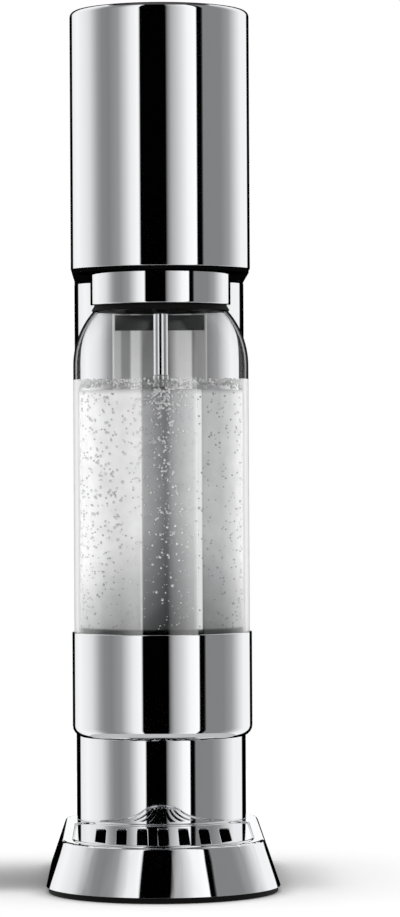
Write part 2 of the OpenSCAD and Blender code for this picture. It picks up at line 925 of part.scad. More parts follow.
module lever_screws() {
    shank = beam_h - head_t - lever_screw_sink + lever_screw_bite;
    color("gray") at_lever_screws() screw_up(beam_z + lever_screw_sink, shank);
}

module lever_pin() {
    color("silver") bar_x(hinge_r, -cheek_out - pin_end, cheek_out + pin_end, hinge_y, hinge_z);
}

module lever_spring() {
    color("silver") translate([0, post_y, 0]) coil(spring_r, spring_wire, spring_turns, post_top, beam_z);
}

// Bottle holder

module holder_ring() {
    color("silver") translate([0, front_y, 0]) ring(ring_r, ring_ri, ring_z, ring_top - ring_z);
}

module holder_liner() {
    color("black") translate([0, front_y, 0]) ring(ring_ri, liner_ri, liner_z, block_low - liner_z);
}

module nozzle_body() {
    color("dimgray") difference() {
        union() {
            translate([0, front_y, block_low]) cylinder(r = ring_ri, h = ring_top - block_low);
            difference() {
                translate([0, front_y, ring_top]) cylinder(r = ring_r, h = block_top - ring_top);
                block(-far, far, pivot_y - ear_r - ear_gap, far, ring_top - 1, block_top + 1);
            }
            translate([0, front_y, block_top]) cylinder(r = hub_r, h = hub_h);
            block(-knuckle_w, knuckle_w, front_y + knuckle_root, pivot_y, ring_top, pivot_z + pivot_r);
            bar_x(knuckle_r, -knuckle_w, knuckle_w, pivot_y, pivot_z);
        }
        bar_x(pivot_r + run_gap, -far, far, pivot_y, pivot_z);
        translate([0, front_y, block_low - 1])
            cylinder(r = tube_r + pin_gap, h = block_top - tube_seat - block_low + 1);
        translate([relief_x, front_y, block_top - relief_deep])
            cylinder(r = relief_stem + pin_gap, h = relief_deep + 1);
    }
}

module holder_pin() {
    color("silver") difference() {
        bar_x(pivot_r, -ear_in - ear_t - pin_end, elbow_out - elbow_wall, pivot_y, pivot_z);
        bar_x(tube_bore, 0, elbow_out, pivot_y, pivot_z);
    }
}

module bottle_seal() {
    color("black") translate([0, front_y, 0]) ring(seal_ro, seal_ri, neck_top + slip, seal_h);
}

module nozzle_tube() {
    tube_low = tip_z + tip_h;
    color("silver") translate([0, front_y, 0])
        ring(tube_r, tube_bore, tube_low, block_top - tube_seat - tube_low);
}

module nozzle_tip() {
    color("white") translate([0, front_y, 0]) ring(tip_r, tip_bore, tip_z, tip_h);
}

module relief_valve() {
    color("goldenrod") translate([relief_x, front_y, 0]) {
        translate([0, 0, block_top - relief_deep]) cylinder(r = relief_stem, h = relief_deep);
        translate([0, 0, block_top]) cylinder(r = relief_r, h = relief_h);
    }
}

// Bottle

// Section of the bottle's outside, or of its inside when it is drawn in by the wall
module bottle_section(wall, floor_t, neck_wall, top) {
    r = bottle_r - wall;
    low = bottle_z + floor_t;
    round = bottle_round - wall;
    translate([0, low]) square([r - round, shoulder_z - low]);
    translate([0, low + round]) square([r, shoulder_z - low - round]);
    translate([r - round, low + round]) circle(round);
    intersection() {
        translate([arc_mid, shoulder_z]) circle(shoulder_r - wall);
        translate([0, shoulder_z - 1]) square([r + 1, neck_z - shoulder_z + 1]);
    }
    translate([0, neck_z - 2 * bottle_t]) square([neck_r - neck_wall, top - neck_z + 2 * bottle_t]);
}

module bottle() {
    color("lightblue") translate([0, front_y, 0]) rotate_extrude() difference() {
        union() {
            bottle_section(0, 0, 0, neck_top);
            translate([0, bead_z]) square([bead_r, bead_h]);
        }
        bottle_section(bottle_t, bottle_floor, neck_t, neck_top + 1);
    }
}

module bottle_cup() {
    in_r = bottle_r + cup_fit;
    color("silver") translate([0, front_y, 0]) difference() {
        rotate_extrude() {
            translate([0, cup_z]) square([cup_r - cup_round, cup_h]);
            translate([0, cup_z + cup_round]) square([cup_r, cup_h - cup_round]);
            translate([cup_r - cup_round, cup_z + cup_round]) circle(cup_round);
        }
        rotate_extrude() {
            translate([0, bottle_z]) square([in_r - bottle_round, cup_h]);
            translate([0, bottle_z + bottle_round]) square([in_r, cup_h]);
            translate([in_r - bottle_round, bottle_z + bottle_round]) circle(bottle_round);
        }
    }
}

// Cylinder and its quick connection

module connect_lever() {
    color("red") difference() {
        union() {
            for (s = [0, 1]) mirror([s, 0, 0]) {
                block(arm_in, arm_out, arm_front, grip_back, hook_z - arm_half, hook_z + arm_half);
                bar_x(cam_r, fork_ear_in - fork_gap, arm_in + 1, hook_y - cam_arm, hook_z);
            }
            block(-arm_out, arm_out, grip_y, grip_back, hook_z - arm_half, hook_z + arm_half);
        }
        bar_x(hook_r + run_gap, -far, far, hook_y, hook_z);
    }
}

module connect_pins() {
    color("silver") for (s = [0, 1]) mirror([s, 0, 0])
        bar_x(hook_r, arm_in - fork_gap, cheek_out + pin_end, hook_y, hook_z);
}

module carriage() {
    slot_half = cam_r + cam_gap;
    slot_y = hook_y - cam_arm;
    color("gray") difference() {
        union() {
            block(-fork_x, fork_x, fork_front, fork_back, fork_z, flange_z);
            for (s = [0, 1]) mirror([s, 0, 0])
                block(fork_ear_in, fork_ear_out, fork_front, fork_ear_back, fork_z, fork_ear_top);
        }
        translate([0, rear_y, fork_z - 1]) cylinder(r = fork_r, h = fork_t + 2);
        block(-fork_r, fork_r, rear_y, fork_back + 1, fork_z - 1, flange_z + 1);
        bar_x(slot_half, -far, far, slot_y, hook_z);
        block(-far, far, slot_y, fork_ear_back + 1, hook_z - slot_half, hook_z + slot_half);
    }
}

// Section of the gas cylinder, or of its hollow when it is drawn in by the wall
module cylinder_section(wall, top) {
    r = cyl_r - wall;
    low = cyl_z + wall;
    round = cyl_round - wall;
    shoulder = valve_z - cyl_shoulder_h;
    translate([0, low]) square([r - round, shoulder - low]);
    translate([0, low + round]) square([r, shoulder - low - round]);
    translate([r - round, low + round]) circle(round);
    intersection() {
        translate([cyl_r - ogive_r, shoulder]) circle(ogive_r - wall);
        translate([0, shoulder - 1]) square([r + 1, top - shoulder + 1]);
    }
}

module gas_cylinder() {
    color("silver") translate([0, rear_y, 0]) difference() {
        rotate_extrude() cylinder_section(0, valve_z);
        rotate_extrude() cylinder_section(cyl_t, valve_z - cyl_neck_deep / 2);
        translate([0, 0, valve_z - cyl_neck_deep]) cylinder(r = cyl_bore, h = cyl_neck_deep + 1);
    }
}

module cylinder_valve() {
    color("goldenrod") translate([0, rear_y, 0]) difference() {
        union() {
            translate([0, 0, valve_z - valve_stem]) cylinder(r = cyl_bore - pin_gap, h = valve_stem + 1);
            translate([0, 0, valve_z]) cylinder(r = valve_low_r, h = flange_z - valve_z);
            translate([0, 0, flange_z]) cylinder(r = flange_r, h = flange_t);
            translate([0, 0, flange_z]) cylinder(r = valve_mid_r, h = valve_tip_z - flange_z);
            translate([0, 0, flange_z]) cylinder(r = valve_tip_r, h = cyl_top - flange_z);
        }
        translate([0, 0, cyl_top - valve_pin_deep]) cylinder(r = valve_pin_r, h = valve_pin_deep + 1);
    }
}

base_cover();
base_plate();
foot_ring();
base_screws();
cylinder_seat();
drip_tub();
drip_grille();
column_shell();
column_frame();
frame_screws();
rear_cover();
head_shell();
head_underplate();
head_chassis();
chassis_screws();
valve_block();
block_screws();
inlet_seal();
pipe_nut();
gas_pipe();
swivel_elbow();
push_rod();
rod_spring();
press_plate();
lever_arm();
lever_screws();
lever_pin();
lever_spring();
holder_ring();
holder_liner();
nozzle_body();
holder_pin();
bottle_seal();
nozzle_tube();
nozzle_tip();
relief_valve();
bottle();
bottle_cup();
connect_lever();
connect_pins();
carriage();
gas_cylinder();
cylinder_valve();
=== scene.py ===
# %% [markdown]
# # A chrome sparkling water maker in a photo studio
# The machine has a tall chrome head on a round column, a clear bottle that hangs from the head by its
# neck, and a flared base with a slotted drip grille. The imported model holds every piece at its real
# size and place, in metres. This lesson dresses it: it adds finer shapes and finishes, and never moves
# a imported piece.

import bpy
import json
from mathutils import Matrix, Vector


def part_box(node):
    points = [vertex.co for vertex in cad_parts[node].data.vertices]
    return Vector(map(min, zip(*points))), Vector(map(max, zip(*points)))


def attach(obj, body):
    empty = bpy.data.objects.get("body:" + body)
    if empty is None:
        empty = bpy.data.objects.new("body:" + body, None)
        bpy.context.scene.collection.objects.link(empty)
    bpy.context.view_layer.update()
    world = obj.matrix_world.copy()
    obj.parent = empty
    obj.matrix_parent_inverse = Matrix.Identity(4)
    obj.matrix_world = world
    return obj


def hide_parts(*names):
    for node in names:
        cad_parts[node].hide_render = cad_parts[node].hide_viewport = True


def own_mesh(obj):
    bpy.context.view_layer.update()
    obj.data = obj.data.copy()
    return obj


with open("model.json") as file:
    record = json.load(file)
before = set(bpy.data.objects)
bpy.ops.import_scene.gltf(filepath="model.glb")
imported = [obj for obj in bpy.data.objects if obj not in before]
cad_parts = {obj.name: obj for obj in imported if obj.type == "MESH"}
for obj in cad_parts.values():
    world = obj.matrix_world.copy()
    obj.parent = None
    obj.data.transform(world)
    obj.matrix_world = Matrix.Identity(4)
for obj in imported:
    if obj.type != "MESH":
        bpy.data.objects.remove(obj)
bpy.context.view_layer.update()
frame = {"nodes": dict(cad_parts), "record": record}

# %% [markdown]
# ## Tools for the whole lesson
# Sizes are written in millimetres and turned to metres by one factor. Colours are sRGB hex values, as a
# painter would note them, and Blender's shaders want linear light, so one function converts them. A
# second small function adds a shader node with its settings and its links, which keeps each material
# short enough to read.

# %% Units, colours and nodes
import json
import math
import random

import bmesh
import bpy
from mathutils import Matrix, Vector

MM = 0.001
TIMES = {"operation": "MULTIPLY"}
MORE_THAN = {"operation": "GREATER_THAN"}
MIXED_COLOURS = {"data_type": "RGBA"}
TINTED = {"data_type": "RGBA", "blend_type": "MULTIPLY"}
nodes = frame["nodes"]


def linear(hex_colour):
    """Turns an sRGB hex colour into linear red, green, blue and alpha."""
    parts = [int(hex_colour[i : i + 2], 16) / 255 for i in (1, 3, 5)]
    return [c / 12.92 if c <= 0.04045 else ((c + 0.055) / 1.055) ** 2.4 for c in parts] + [1.0]


def add_node(tree, kind, settings=None, inputs=None):
    """Adds a node. Settings are its own properties, inputs are values or sockets of other nodes."""
    node = tree.nodes.new(kind)
    for name, value in (settings or {}).items():
        setattr(node, name, value)
    for name, value in (inputs or {}).items():
        if isinstance(value, bpy.types.NodeSocket):
            tree.links.new(value, node.inputs[name])
        else:
            node.inputs[name].default_value = value
    return node


def size_of(piece):
    """A piece's width, depth and height in mm."""
    return [round(side / MM, 1) for side in piece.dimensions]


print("chrome grey 200 is", round(linear("#C8C8C8")[0], 3), "in linear light")

# %% [markdown]
# ## The camera
# The picture was taken with a long lens from almost two metres away, level with the middle of the
# bottle. A long lens keeps the column's sides parallel. The aim is a little to the right of the
# machine, because the picture leaves room there, and the camera is rolled by a third of a degree.

# %% Camera
CAMERA_PLACE = Vector((-13.4, -1957.0, 212.3)) * MM
CAMERA_AIM = Vector((19.45, -57.0, 217.1)) * MM
CAMERA_ROLL = math.radians(-0.3)
LENS = 148.47
SENSOR_WIDTH = 36.0
NEAREST = 0.05
FARTHEST = 50.0

camera_data = bpy.data.cameras.new("studio_camera")
camera_data.lens = LENS
camera_data.sensor_width = SENSOR_WIDTH
camera_data.clip_start = NEAREST
camera_data.clip_end = FARTHEST
camera = bpy.data.objects.new("studio_camera", camera_data)
bpy.context.scene.collection.objects.link(camera)
look = (CAMERA_AIM - CAMERA_PLACE).to_track_quat("-Z", "Y").to_matrix().to_4x4()
camera.matrix_world = Matrix.Translation(CAMERA_PLACE) @ look @ Matrix.Rotation(CAMERA_ROLL, 4, "Z")
bpy.context.scene.camera = camera
print("camera is", round((CAMERA_AIM - CAMERA_PLACE).length, 3), "m from the bottle")

# %% [markdown]
# ## The studio
# Chrome has no colour of its own: it shows the room. A product photographer puts it in a tent of white
# cloth with black strips, so that it gets clean bands and a dark outline. The camera looks in through
# the cloth and sees plain white. So the world gives even white light to every matt surface. Light that
# has scattered in the milky water and leaves through the wall counts for more, because in a real bottle
# it is thrown back and forth many times. Light that comes to the table by way of the chrome counts for
# little, because dark flags keep it off. Mirrors see the world only as a dark ceiling with one dim
# lamp, and a pale floor.

# %% Even white light
BOTTLE_GAIN = 1.6
MIRROR_SPILL = 0.15
AT_ALL = 0.5  # a count of bounces is 0, or it is 1 and more

world = bpy.data.worlds.new("studio_world")
bpy.context.scene.world = world
world.use_nodes = True
room = world.node_tree
room.nodes.clear()
heading = add_node(room, "ShaderNodeTexCoord").outputs["Generated"]
upward = add_node(room, "ShaderNodeSeparateXYZ", inputs={0: heading}).outputs["Z"]
height = add_node(room, "ShaderNodeMapRange", inputs={"Value": upward, "From Min": -1.0}).outputs[0]
ceiling = add_node(room, "ShaderNodeValToRGB", inputs={"Fac": height})


def set_stops(ramp, stops):
    """Fills a colour ramp with (position, colour) stops: places first, because they set the order."""
    while len(ramp.elements) < len(stops):
        ramp.elements.new(0.5)
    for element, stop in zip(ramp.elements, stops):
        element.position = stop[0]
    for element, stop in zip(ramp.elements, stops):
        element.color = linear(stop[1])


CEILING = [
    (0.45, "#CFCFCF"), (0.6, "#303030"), (0.7, "#121212"), (0.86, "#141414"), (0.93, "#383838"),
    (0.985, "#585858"),
]
set_stops(ceiling.color_ramp, CEILING)
mirror_light = add_node(room, "ShaderNodeBackground", inputs={"Color": ceiling.outputs["Color"]}).outputs[0]
path = add_node(room, "ShaderNodeLightPath").outputs
scattered = add_node(room, "ShaderNodeMath", MORE_THAN, {0: path["Diffuse Depth"], 1: AT_ALL}).outputs[0]
in_bottle = add_node(
    room, "ShaderNodeMath", TIMES, {0: scattered, 1: path["Is Transmission Ray"]}
).outputs[0]
brightness = add_node(
    room, "ShaderNodeMapRange", inputs={"Value": in_bottle, "To Min": 1.0, "To Max": BOTTLE_GAIN}
).outputs[0]
outside = add_node(
    room, "ShaderNodeMath", {"operation": "LESS_THAN"}, {0: path["Transmission Depth"], 1: AT_ALL}
).outputs[0]
off_mirror = add_node(room, "ShaderNodeMath", TIMES, {0: outside, 1: path["Is Glossy Ray"]}).outputs[0]
by_mirror = add_node(room, "ShaderNodeMath", TIMES, {0: scattered, 1: off_mirror}).outputs[0]
kept = add_node(
    room, "ShaderNodeMapRange", inputs={"Value": by_mirror, "To Min": 1.0, "To Max": MIRROR_SPILL}
).outputs[0]
strength = add_node(room, "ShaderNodeMath", TIMES, {0: brightness, 1: kept}).outputs[0]
even_light = add_node(
    room, "ShaderNodeBackground", inputs={"Color": linear("#FFFFFF"), "Strength": strength}
).outputs[0]
sharp = add_node(
    room, "ShaderNodeMath", {"operation": "MAXIMUM"},
    {0: path["Is Glossy Ray"], 1: path["Is Transmission Ray"]},
).outputs[0]
clear = add_node(room, "ShaderNodeMath", MORE_THAN, {0: sharp, 1: scattered}).outputs[0]
light = add_node(room, "ShaderNodeMixShader", inputs={0: clear, 1: even_light, 2: mirror_light}).outputs[0]
add_node(room, "ShaderNodeOutputWorld", inputs={"Surface": light})
bpy.context.scene.view_settings.view_transform = "Standard"
print("world has", len(room.nodes), "nodes")

# %% [markdown]
# ## The tent
# The tent is a tube of cloth, open at both ends, half a metre from the bottle's axis. Being near, it
# gives the column behind the bottle other bands than the head in front, as a real tent does. Its bands
# are listed by their angle round the bottle, from the camera at 0 towards the right. Its back is a
# black cloth, so every edge that turns away gets a dark line.

# %% Tent cloth
FRONT_AXIS = -57.0
TENT_RADIUS = 500.0
TENT_BOTTOM = -250.0
TENT_TOP = 1150.0
TENT_FACETS = 180
CHROME_RETURN = 0.8
TENT_BANDS = [
    (-180.0, "#000000"), (-147.5, "#000000"), (-146.0, "#E8E8E8"), (-126.8, "#F4F4F4"),
    (-106.2, "#E5E5E5"), (-97.8, "#D8D8D8"), (-83.1, "#989898"), (-76.4, "#858585"), (-66.0, "#7F7F7F"),
    (-52.4, "#969696"), (-41.5, "#D1D1D1"), (-36.2, "#E9E9E9"), (-25.6, "#FAFAFA"), (-24.5, "#000000"),
    (7.6, "#000000"), (8.8, "#707070"), (14.0, "#AAAAAA"), (24.1, "#D2D2D2"), (34.3, "#F6F6F6"),
    (45.0, "#FFFFFF"), (46.4, "#000000"), (53.2, "#000000"), (54.4, "#808080"), (80.7, "#818181"),
    (95.1, "#9A9A9A"), (112.2, "#DADADA"), (122.7, "#F0F0F0"), (145.0, "#F0F0F0"), (146.5, "#000000"),
]


def new_material(name):
    """A material with its Principled shader."""
    material = bpy.data.materials.new(name)
    material.use_nodes = True
    return material, material.node_tree, material.node_tree.nodes["Principled BSDF"]


def set_inputs(shader, **values):
    """Sets constant values on a shader's own sockets, with underscores for spaces in their names."""
    for name, value in values.items():
        shader.inputs[name.replace("_", " ")].default_value = value


def tent_cloth():
    """Glowing cloth with its bands by angle."""
    material, tree, shader = new_material("tent_cloth_with_black_strips")
    tree.nodes.remove(shader)
    place = add_node(tree, "ShaderNodeTexCoord").outputs["Object"]
    spot = add_node(tree, "ShaderNodeSeparateXYZ", inputs={0: place}).outputs
    ahead = add_node(
        tree, "ShaderNodeMath", {"operation": "SUBTRACT"}, {0: FRONT_AXIS * MM, 1: spot["Y"]}
    ).outputs[0]
    turn = add_node(tree, "ShaderNodeMath", {"operation": "ARCTAN2"}, {0: spot["X"], 1: ahead}).outputs[0]
    share = add_node(
        tree, "ShaderNodeMapRange", inputs={"Value": turn, "From Min": -math.pi, "From Max": math.pi}
    ).outputs[0]
    bands = add_node(tree, "ShaderNodeValToRGB", inputs={"Fac": share})
    set_stops(bands.color_ramp, [((angle + 180.0) / 360.0, grey) for angle, grey in TENT_BANDS])
    glow = bands.outputs["Color"]
    light = add_node(
        tree, "ShaderNodeEmission", inputs={"Color": glow, "Strength": 1 / CHROME_RETURN}
    ).outputs[0]
    open_cloth = add_node(tree, "ShaderNodeBsdfTransparent").outputs[0]
    scattered = add_node(tree, "ShaderNodeLightPath").outputs["Diffuse Depth"]
    cloth = add_node(tree, "ShaderNodeMixShader", inputs={0: scattered, 1: light, 2: open_cloth}).outputs[0]
    tree.links.new(cloth, tree.nodes["Material Output"].inputs["Surface"])
    return material


def pull(bm, wire, way):
    """Pulls a wire straight along a way in mm and gives the wire at the end."""
    edges = [item for item in wire if isinstance(item, bmesh.types.BMEdge)]
    drawn = bmesh.ops.extrude_edge_only(bm, edges=edges)["geom"]
    moved = [item for item in drawn if isinstance(item, bmesh.types.BMVert)]
    bmesh.ops.translate(bm, verts=moved, vec=Vector(way) * MM)
    ends = set(moved)
    last = [item for item in drawn if isinstance(item, bmesh.types.BMEdge) and set(item.verts) <= ends]
    return moved + last


tent_bm = bmesh.new()
low = Matrix.Translation(Vector((0, FRONT_AXIS, TENT_BOTTOM)) * MM)
bmesh.ops.create_circle(tent_bm, radius=TENT_RADIUS * MM, segments=TENT_FACETS, matrix=low)
pull(tent_bm, tent_bm.edges[:], (0, 0, TENT_TOP - TENT_BOTTOM))


def stage_piece(name, bm, material):
    """Puts a piece of the studio on the stage."""
    mesh = bpy.data.meshes.new(name)
    bm.to_mesh(mesh)
    bm.free()
    mesh.materials.append(material)
    piece = bpy.data.objects.new(name, mesh)
    bpy.context.scene.collection.objects.link(piece)
    print(name, "is", size_of(piece), "mm")
    return piece


def only_in_mirrors(piece):
    """Hides a studio piece from the camera and from matt surfaces."""
    piece.visible_camera = False
    piece.visible_diffuse = False
    piece.visible_shadow = False


tent = stage_piece("light_tent", tent_bm, tent_cloth())
only_in_mirrors(tent)
print("its cloth has", len(TENT_BANDS), "band edges")

# %% [markdown]
# ## The level card
# A white card lies low behind the machine and is seen from below only. The base's level faces mirror it
# and turn white, while their rounded edges look past it into the black cloth.

# %% Level card
CARD_HEIGHT = 55.0
CARD_NEAR = 128.0
CARD_FAR = 440.0
CARD_HALF_WIDTH = 110.0


def card_seen_from_below():
    """White that shows only on the side that faces down."""
    material, tree, shader = new_material("card_white_on_its_underside")
    tree.nodes.remove(shader)
    below = add_node(tree, "ShaderNodeNewGeometry").outputs["Backfacing"]
    white = add_node(
        tree, "ShaderNodeEmission", inputs={"Color": linear("#EDEDED"), "Strength": 1 / CHROME_RETURN}
    ).outputs[0]
    unseen = add_node(tree, "ShaderNodeBsdfTransparent").outputs[0]
    card = add_node(tree, "ShaderNodeMixShader", inputs={0: below, 1: unseen, 2: white}).outputs[0]
    tree.links.new(card, tree.nodes["Material Output"].inputs["Surface"])
    return material


def level_sheet(left, right, front, back, height):
    """One level face between its four sides in mm."""
    bm = bmesh.new()
    middle = Vector(((left + right) / 2, (front + back) / 2, height)) * MM
    sized = Matrix.Diagonal(((right - left) / 2 * MM, (back - front) / 2 * MM, 1.0, 1.0))
    laid = Matrix.Translation(middle) @ sized
    bmesh.ops.create_grid(bm, x_segments=1, y_segments=1, size=1.0, matrix=laid)
    return bm


card_bm = level_sheet(-CARD_HALF_WIDTH, CARD_HALF_WIDTH, CARD_NEAR, CARD_FAR, CARD_HEIGHT)
card = stage_piece("level_card", card_bm, card_seen_from_below())
only_in_mirrors(card)

# %% [markdown]
# ## The table
# A round white board stands under the machine. It catches the soft shadow, and close to the base a
# painted shade deepens it: an ambient occlusion node darkens the board's colour there. A small glow lifts
# the board to the white of the background, so that its rim does not show. It is switched off for
# mirrors, as if dark flags stood between them and the board.

# %% White board
BOARD_RADIUS = 700.0
BOARD_FACETS = 128
BOARD_GLOW = 0.15
SHADOW_REACH = 12.0


def white_board_with_painted_shade():
    """Matt white with painted contact shade where something stands close over it."""
    material, tree, shader = new_material("melamine_board_white_painted_contact_shade")
    set_inputs(shader, Roughness=0.9, Specular_IOR_Level=0.0)
    set_inputs(shader, Emission_Color=linear("#FFFFFF"), Emission_Strength=BOARD_GLOW)
    # Painted shade: an ambient occlusion node darkens the board's colour close to the base.
    near = add_node(
        tree, "ShaderNodeAmbientOcclusion",
        inputs={"Color": linear("#FCFCFC"), "Distance": SHADOW_REACH * MM},
    ).outputs["Color"]
    tree.links.new(near, shader.inputs["Base Color"])
    return material


board_bm = bmesh.new()
bmesh.ops.create_circle(board_bm, cap_ends=True, radius=BOARD_RADIUS * MM, segments=BOARD_FACETS)
board = stage_piece("white_board_with_painted_shade", board_bm, white_board_with_painted_shade())
board.visible_glossy = False

# %% [markdown]
# ## The shade net
# A net hangs low over the board, thick in the middle and fading to its edges. Only light on its way to
# matt surfaces meets it, so the board gets a long soft shadow on both sides of the base, longer at the
# left, as it does when the main light stands at the right. Neither the camera nor a mirror sees the
# net.

# %% Shade net
NET_HEIGHT = 14.0  # above the board's SHADOW_REACH, or the board would count the net as near
NET_LEFT = -200.0
NET_RIGHT = 100.0
NET_FRONT = -75.0
NET_BACK = 120.0
NET_ACROSS = [
    (0.0, "#000000"), (0.27, "#E7E7E7"), (0.45, "#FFFFFF"), (0.7, "#FFFFFF"), (0.83, "#DADADA"),
    (0.89, "#CECECE"), (0.925, "#BCBCBC"), (0.955, "#898989"), (0.98, "#000000"),
]
NET_INWARDS = [
    (0.0, "#000000"), (0.087, "#595959"), (0.154, "#D5D5D5"), (0.23, "#EAEAEA"), (0.344, "#EEEEEE"),
    (0.49, "#E5E5E5"), (0.64, "#CECECE"), (0.8, "#8E8E8E"), (0.92, "#505050"), (1.0, "#000000"),
]


def shades_along(tree, value, low, high, stops):
    """Shades that change along a length, from low to high in mm."""
    part = add_node(
        tree, "ShaderNodeMapRange", inputs={"Value": value, "From Min": low * MM, "From Max": high * MM}
    ).outputs[0]
    made = add_node(tree, "ShaderNodeValToRGB", inputs={"Fac": part})
    set_stops(made.color_ramp, stops)
    return made.outputs["Color"]


def graded_net():
    """Black threads with holes between them: how thick it is follows from both ways across."""
    material, tree, shader = new_material("net_black_graded")
    tree.nodes.remove(shader)
    place = add_node(tree, "ShaderNodeTexCoord").outputs["Object"]
    spot = add_node(tree, "ShaderNodeSeparateXYZ", inputs={0: place}).outputs
    across = shades_along(tree, spot["X"], NET_LEFT, NET_RIGHT, NET_ACROSS)
    inwards = shades_along(tree, spot["Y"], NET_FRONT, NET_BACK, NET_INWARDS)
    thick = add_node(tree, "ShaderNodeMath", TIMES, {0: across, 1: inwards}).outputs[0]
    holes = add_node(tree, "ShaderNodeBsdfTransparent").outputs[0]
    thread = add_node(tree, "ShaderNodeBsdfDiffuse", inputs={"Color": linear("#000000")}).outputs[0]
    net = add_node(tree, "ShaderNodeMixShader", inputs={0: thick, 1: holes, 2: thread}).outputs[0]
    tree.links.new(net, tree.nodes["Material Output"].inputs["Surface"])
    return material


net_bm = level_sheet(NET_LEFT, NET_RIGHT, NET_FRONT, NET_BACK, NET_HEIGHT)
net = stage_piece("shade_net", net_bm, graded_net())
net.visible_camera = False
net.visible_glossy = False
net.visible_transmission = False

# %% [markdown]
# ## Chrome plate
# Polished steel with a thin layer of chromium: a mirror with a faint blue-grey cast. Its detail is very
# fine: polishing leaves soft clouds of a slightly different gloss, a few centimetres across.

# %% Chrome
POLISH_CLOUD = 30.0
POLISH_GLOSS = (0.015, 0.045)


def chrome_plate():
    """A mirror whose gloss drifts in soft clouds."""
    material, tree, shader = new_material("chromium_plate_mirror_polished")
    set_inputs(shader, Base_Color=linear("#E6E7E9"), Metallic=1.0)
    place = add_node(tree, "ShaderNodeTexCoord").outputs["Object"]
    clouds = add_node(
        tree, "ShaderNodeTexNoise", inputs={"Vector": place, "Scale": 1 / (POLISH_CLOUD * MM), "Detail": 3.0}
    ).outputs[0]
    gloss = add_node(
        tree, "ShaderNodeMapRange",
        inputs={"Value": clouds, "To Min": POLISH_GLOSS[0], "To Max": POLISH_GLOSS[1]},
    ).outputs[0]
    tree.links.new(gloss, shader.inputs["Roughness"])
    return material


chrome = chrome_plate()
print("made", chrome.name)

# %% [markdown]
# ## Inner materials
# Behind the chrome the machine is made of ordinary stock: moulded black plastic, rubber, plated steel,
# cast zinc and turned brass. They differ in the size of their grain. One function mixes two close
# colours, a range of gloss and a fine relief by the same noise, and each material gives it the size of
# its own grain in millimetres.

# %% Grained finishes
RELIEF_DEPTH = 0.2


def grained(name, colours, gloss, grain, relief, metallic=0.0, stretch=(1.0, 1.0, 1.0), **more):
    """A finish whose colour, gloss and relief vary with a noise of the given grain in mm."""
    material, tree, shader = new_material(name)
    set_inputs(shader, Metallic=metallic, **more)
    place = add_node(tree, "ShaderNodeTexCoord").outputs["Object"]
    scaled = add_node(tree, "ShaderNodeMapping", inputs={"Vector": place, "Scale": stretch}).outputs[0]
    noise = add_node(
        tree, "ShaderNodeTexNoise", inputs={"Vector": scaled, "Scale": 1 / (grain * MM), "Detail": 4.0}
    ).outputs[0]
    tint = add_node(
        tree, "ShaderNodeMix", MIXED_COLOURS, {0: noise, 6: linear(colours[0]), 7: linear(colours[1])}
    ).outputs[2]
    sheen = add_node(
        tree, "ShaderNodeMapRange", inputs={"Value": noise, "To Min": gloss[0], "To Max": gloss[1]}
    ).outputs[0]
    bump = add_node(
        tree, "ShaderNodeBump", inputs={"Height": noise, "Strength": relief, "Distance": RELIEF_DEPTH * MM}
    ).outputs[0]
    tree.links.new(tint, shader.inputs["Base Color"])
    tree.links.new(sheen, shader.inputs["Roughness"])
    tree.links.new(bump, shader.inputs["Normal"])
    return material


finish = {
    "chrome": chrome,
    # ABS moulded in a spark-eroded tool: a dull black with a grain like fine sand.
    "dark_plastic": grained(
        "abs_moulded_spark_grain", ("#101011", "#1A1A1C"), (0.38, 0.55), 0.8, 0.25, Specular_IOR_Level=0.3
    ),
    # The same plastic from a polished tool: nearly black, with a slow ripple in its reflections.
    "gloss_dark": grained(
        "abs_moulded_polished", ("#040405", "#09090A"), (0.08, 0.16), 9.0, 0.03, Specular_IOR_Level=0.3
    ),
    # EPDM rubber: soft, dull, with a dusty bloom on its high spots.
    "rubber": grained(
        "epdm_rubber_moulded", ("#070707", "#111110"), (0.62, 0.82), 1.5, 0.2, Specular_IOR_Level=0.15
    ),
    # Steel with a clear zinc plating: grey with patches of warm and cool.
    "steel": grained("steel_zinc_plated", ("#A9ADB3", "#C6C2B8"), (0.22, 0.38), 6.0, 0.04, 1.0),
    # Cast zinc: matt, with the flow clouds that the melt leaves in the mould.
    "zinc": grained("zinc_die_cast", ("#8F9194", "#B4B5B7"), (0.38, 0.6), 4.0, 0.18, 1.0),
    # Brass turned on a lathe: fine rings across its axis.
    "brass": grained("brass_turned", ("#B58E46", "#DDBD7C"), (0.16, 0.34), 2.5, 0.1, 1.0, (0.08, 0.08, 4.0)),
    # Polycarbonate under a film of gas: it mirrors the studio's bands like dull silver.
    "clear_tip": grained(
        "polycarbonate_under_gas_film", ("#B4B5B6", "#CACBCC"), (0.04, 0.1), 2.0, 0.02, 0.7,
        Transmission_Weight=0.2, Coat_Weight=1.0, Coat_IOR=3.0,
    ),
    # Polypropylene: a bright red lever with a soft moulded grain.
    "handle": grained("polypropylene_moulded_red", ("#A30F2B", "#BC1738"), (0.28, 0.42), 1.0, 0.15),
    # Aluminium drawn into a cylinder and brushed round: long lines round its axis.
    "aluminium": grained(
        "aluminium_brushed", ("#BBBDC0", "#D0D1D3"), (0.24, 0.36), 2.0, 0.04, 1.0, (0.05, 0.05, 3.0)
    ),
}
print("made", len(finish), "finishes")
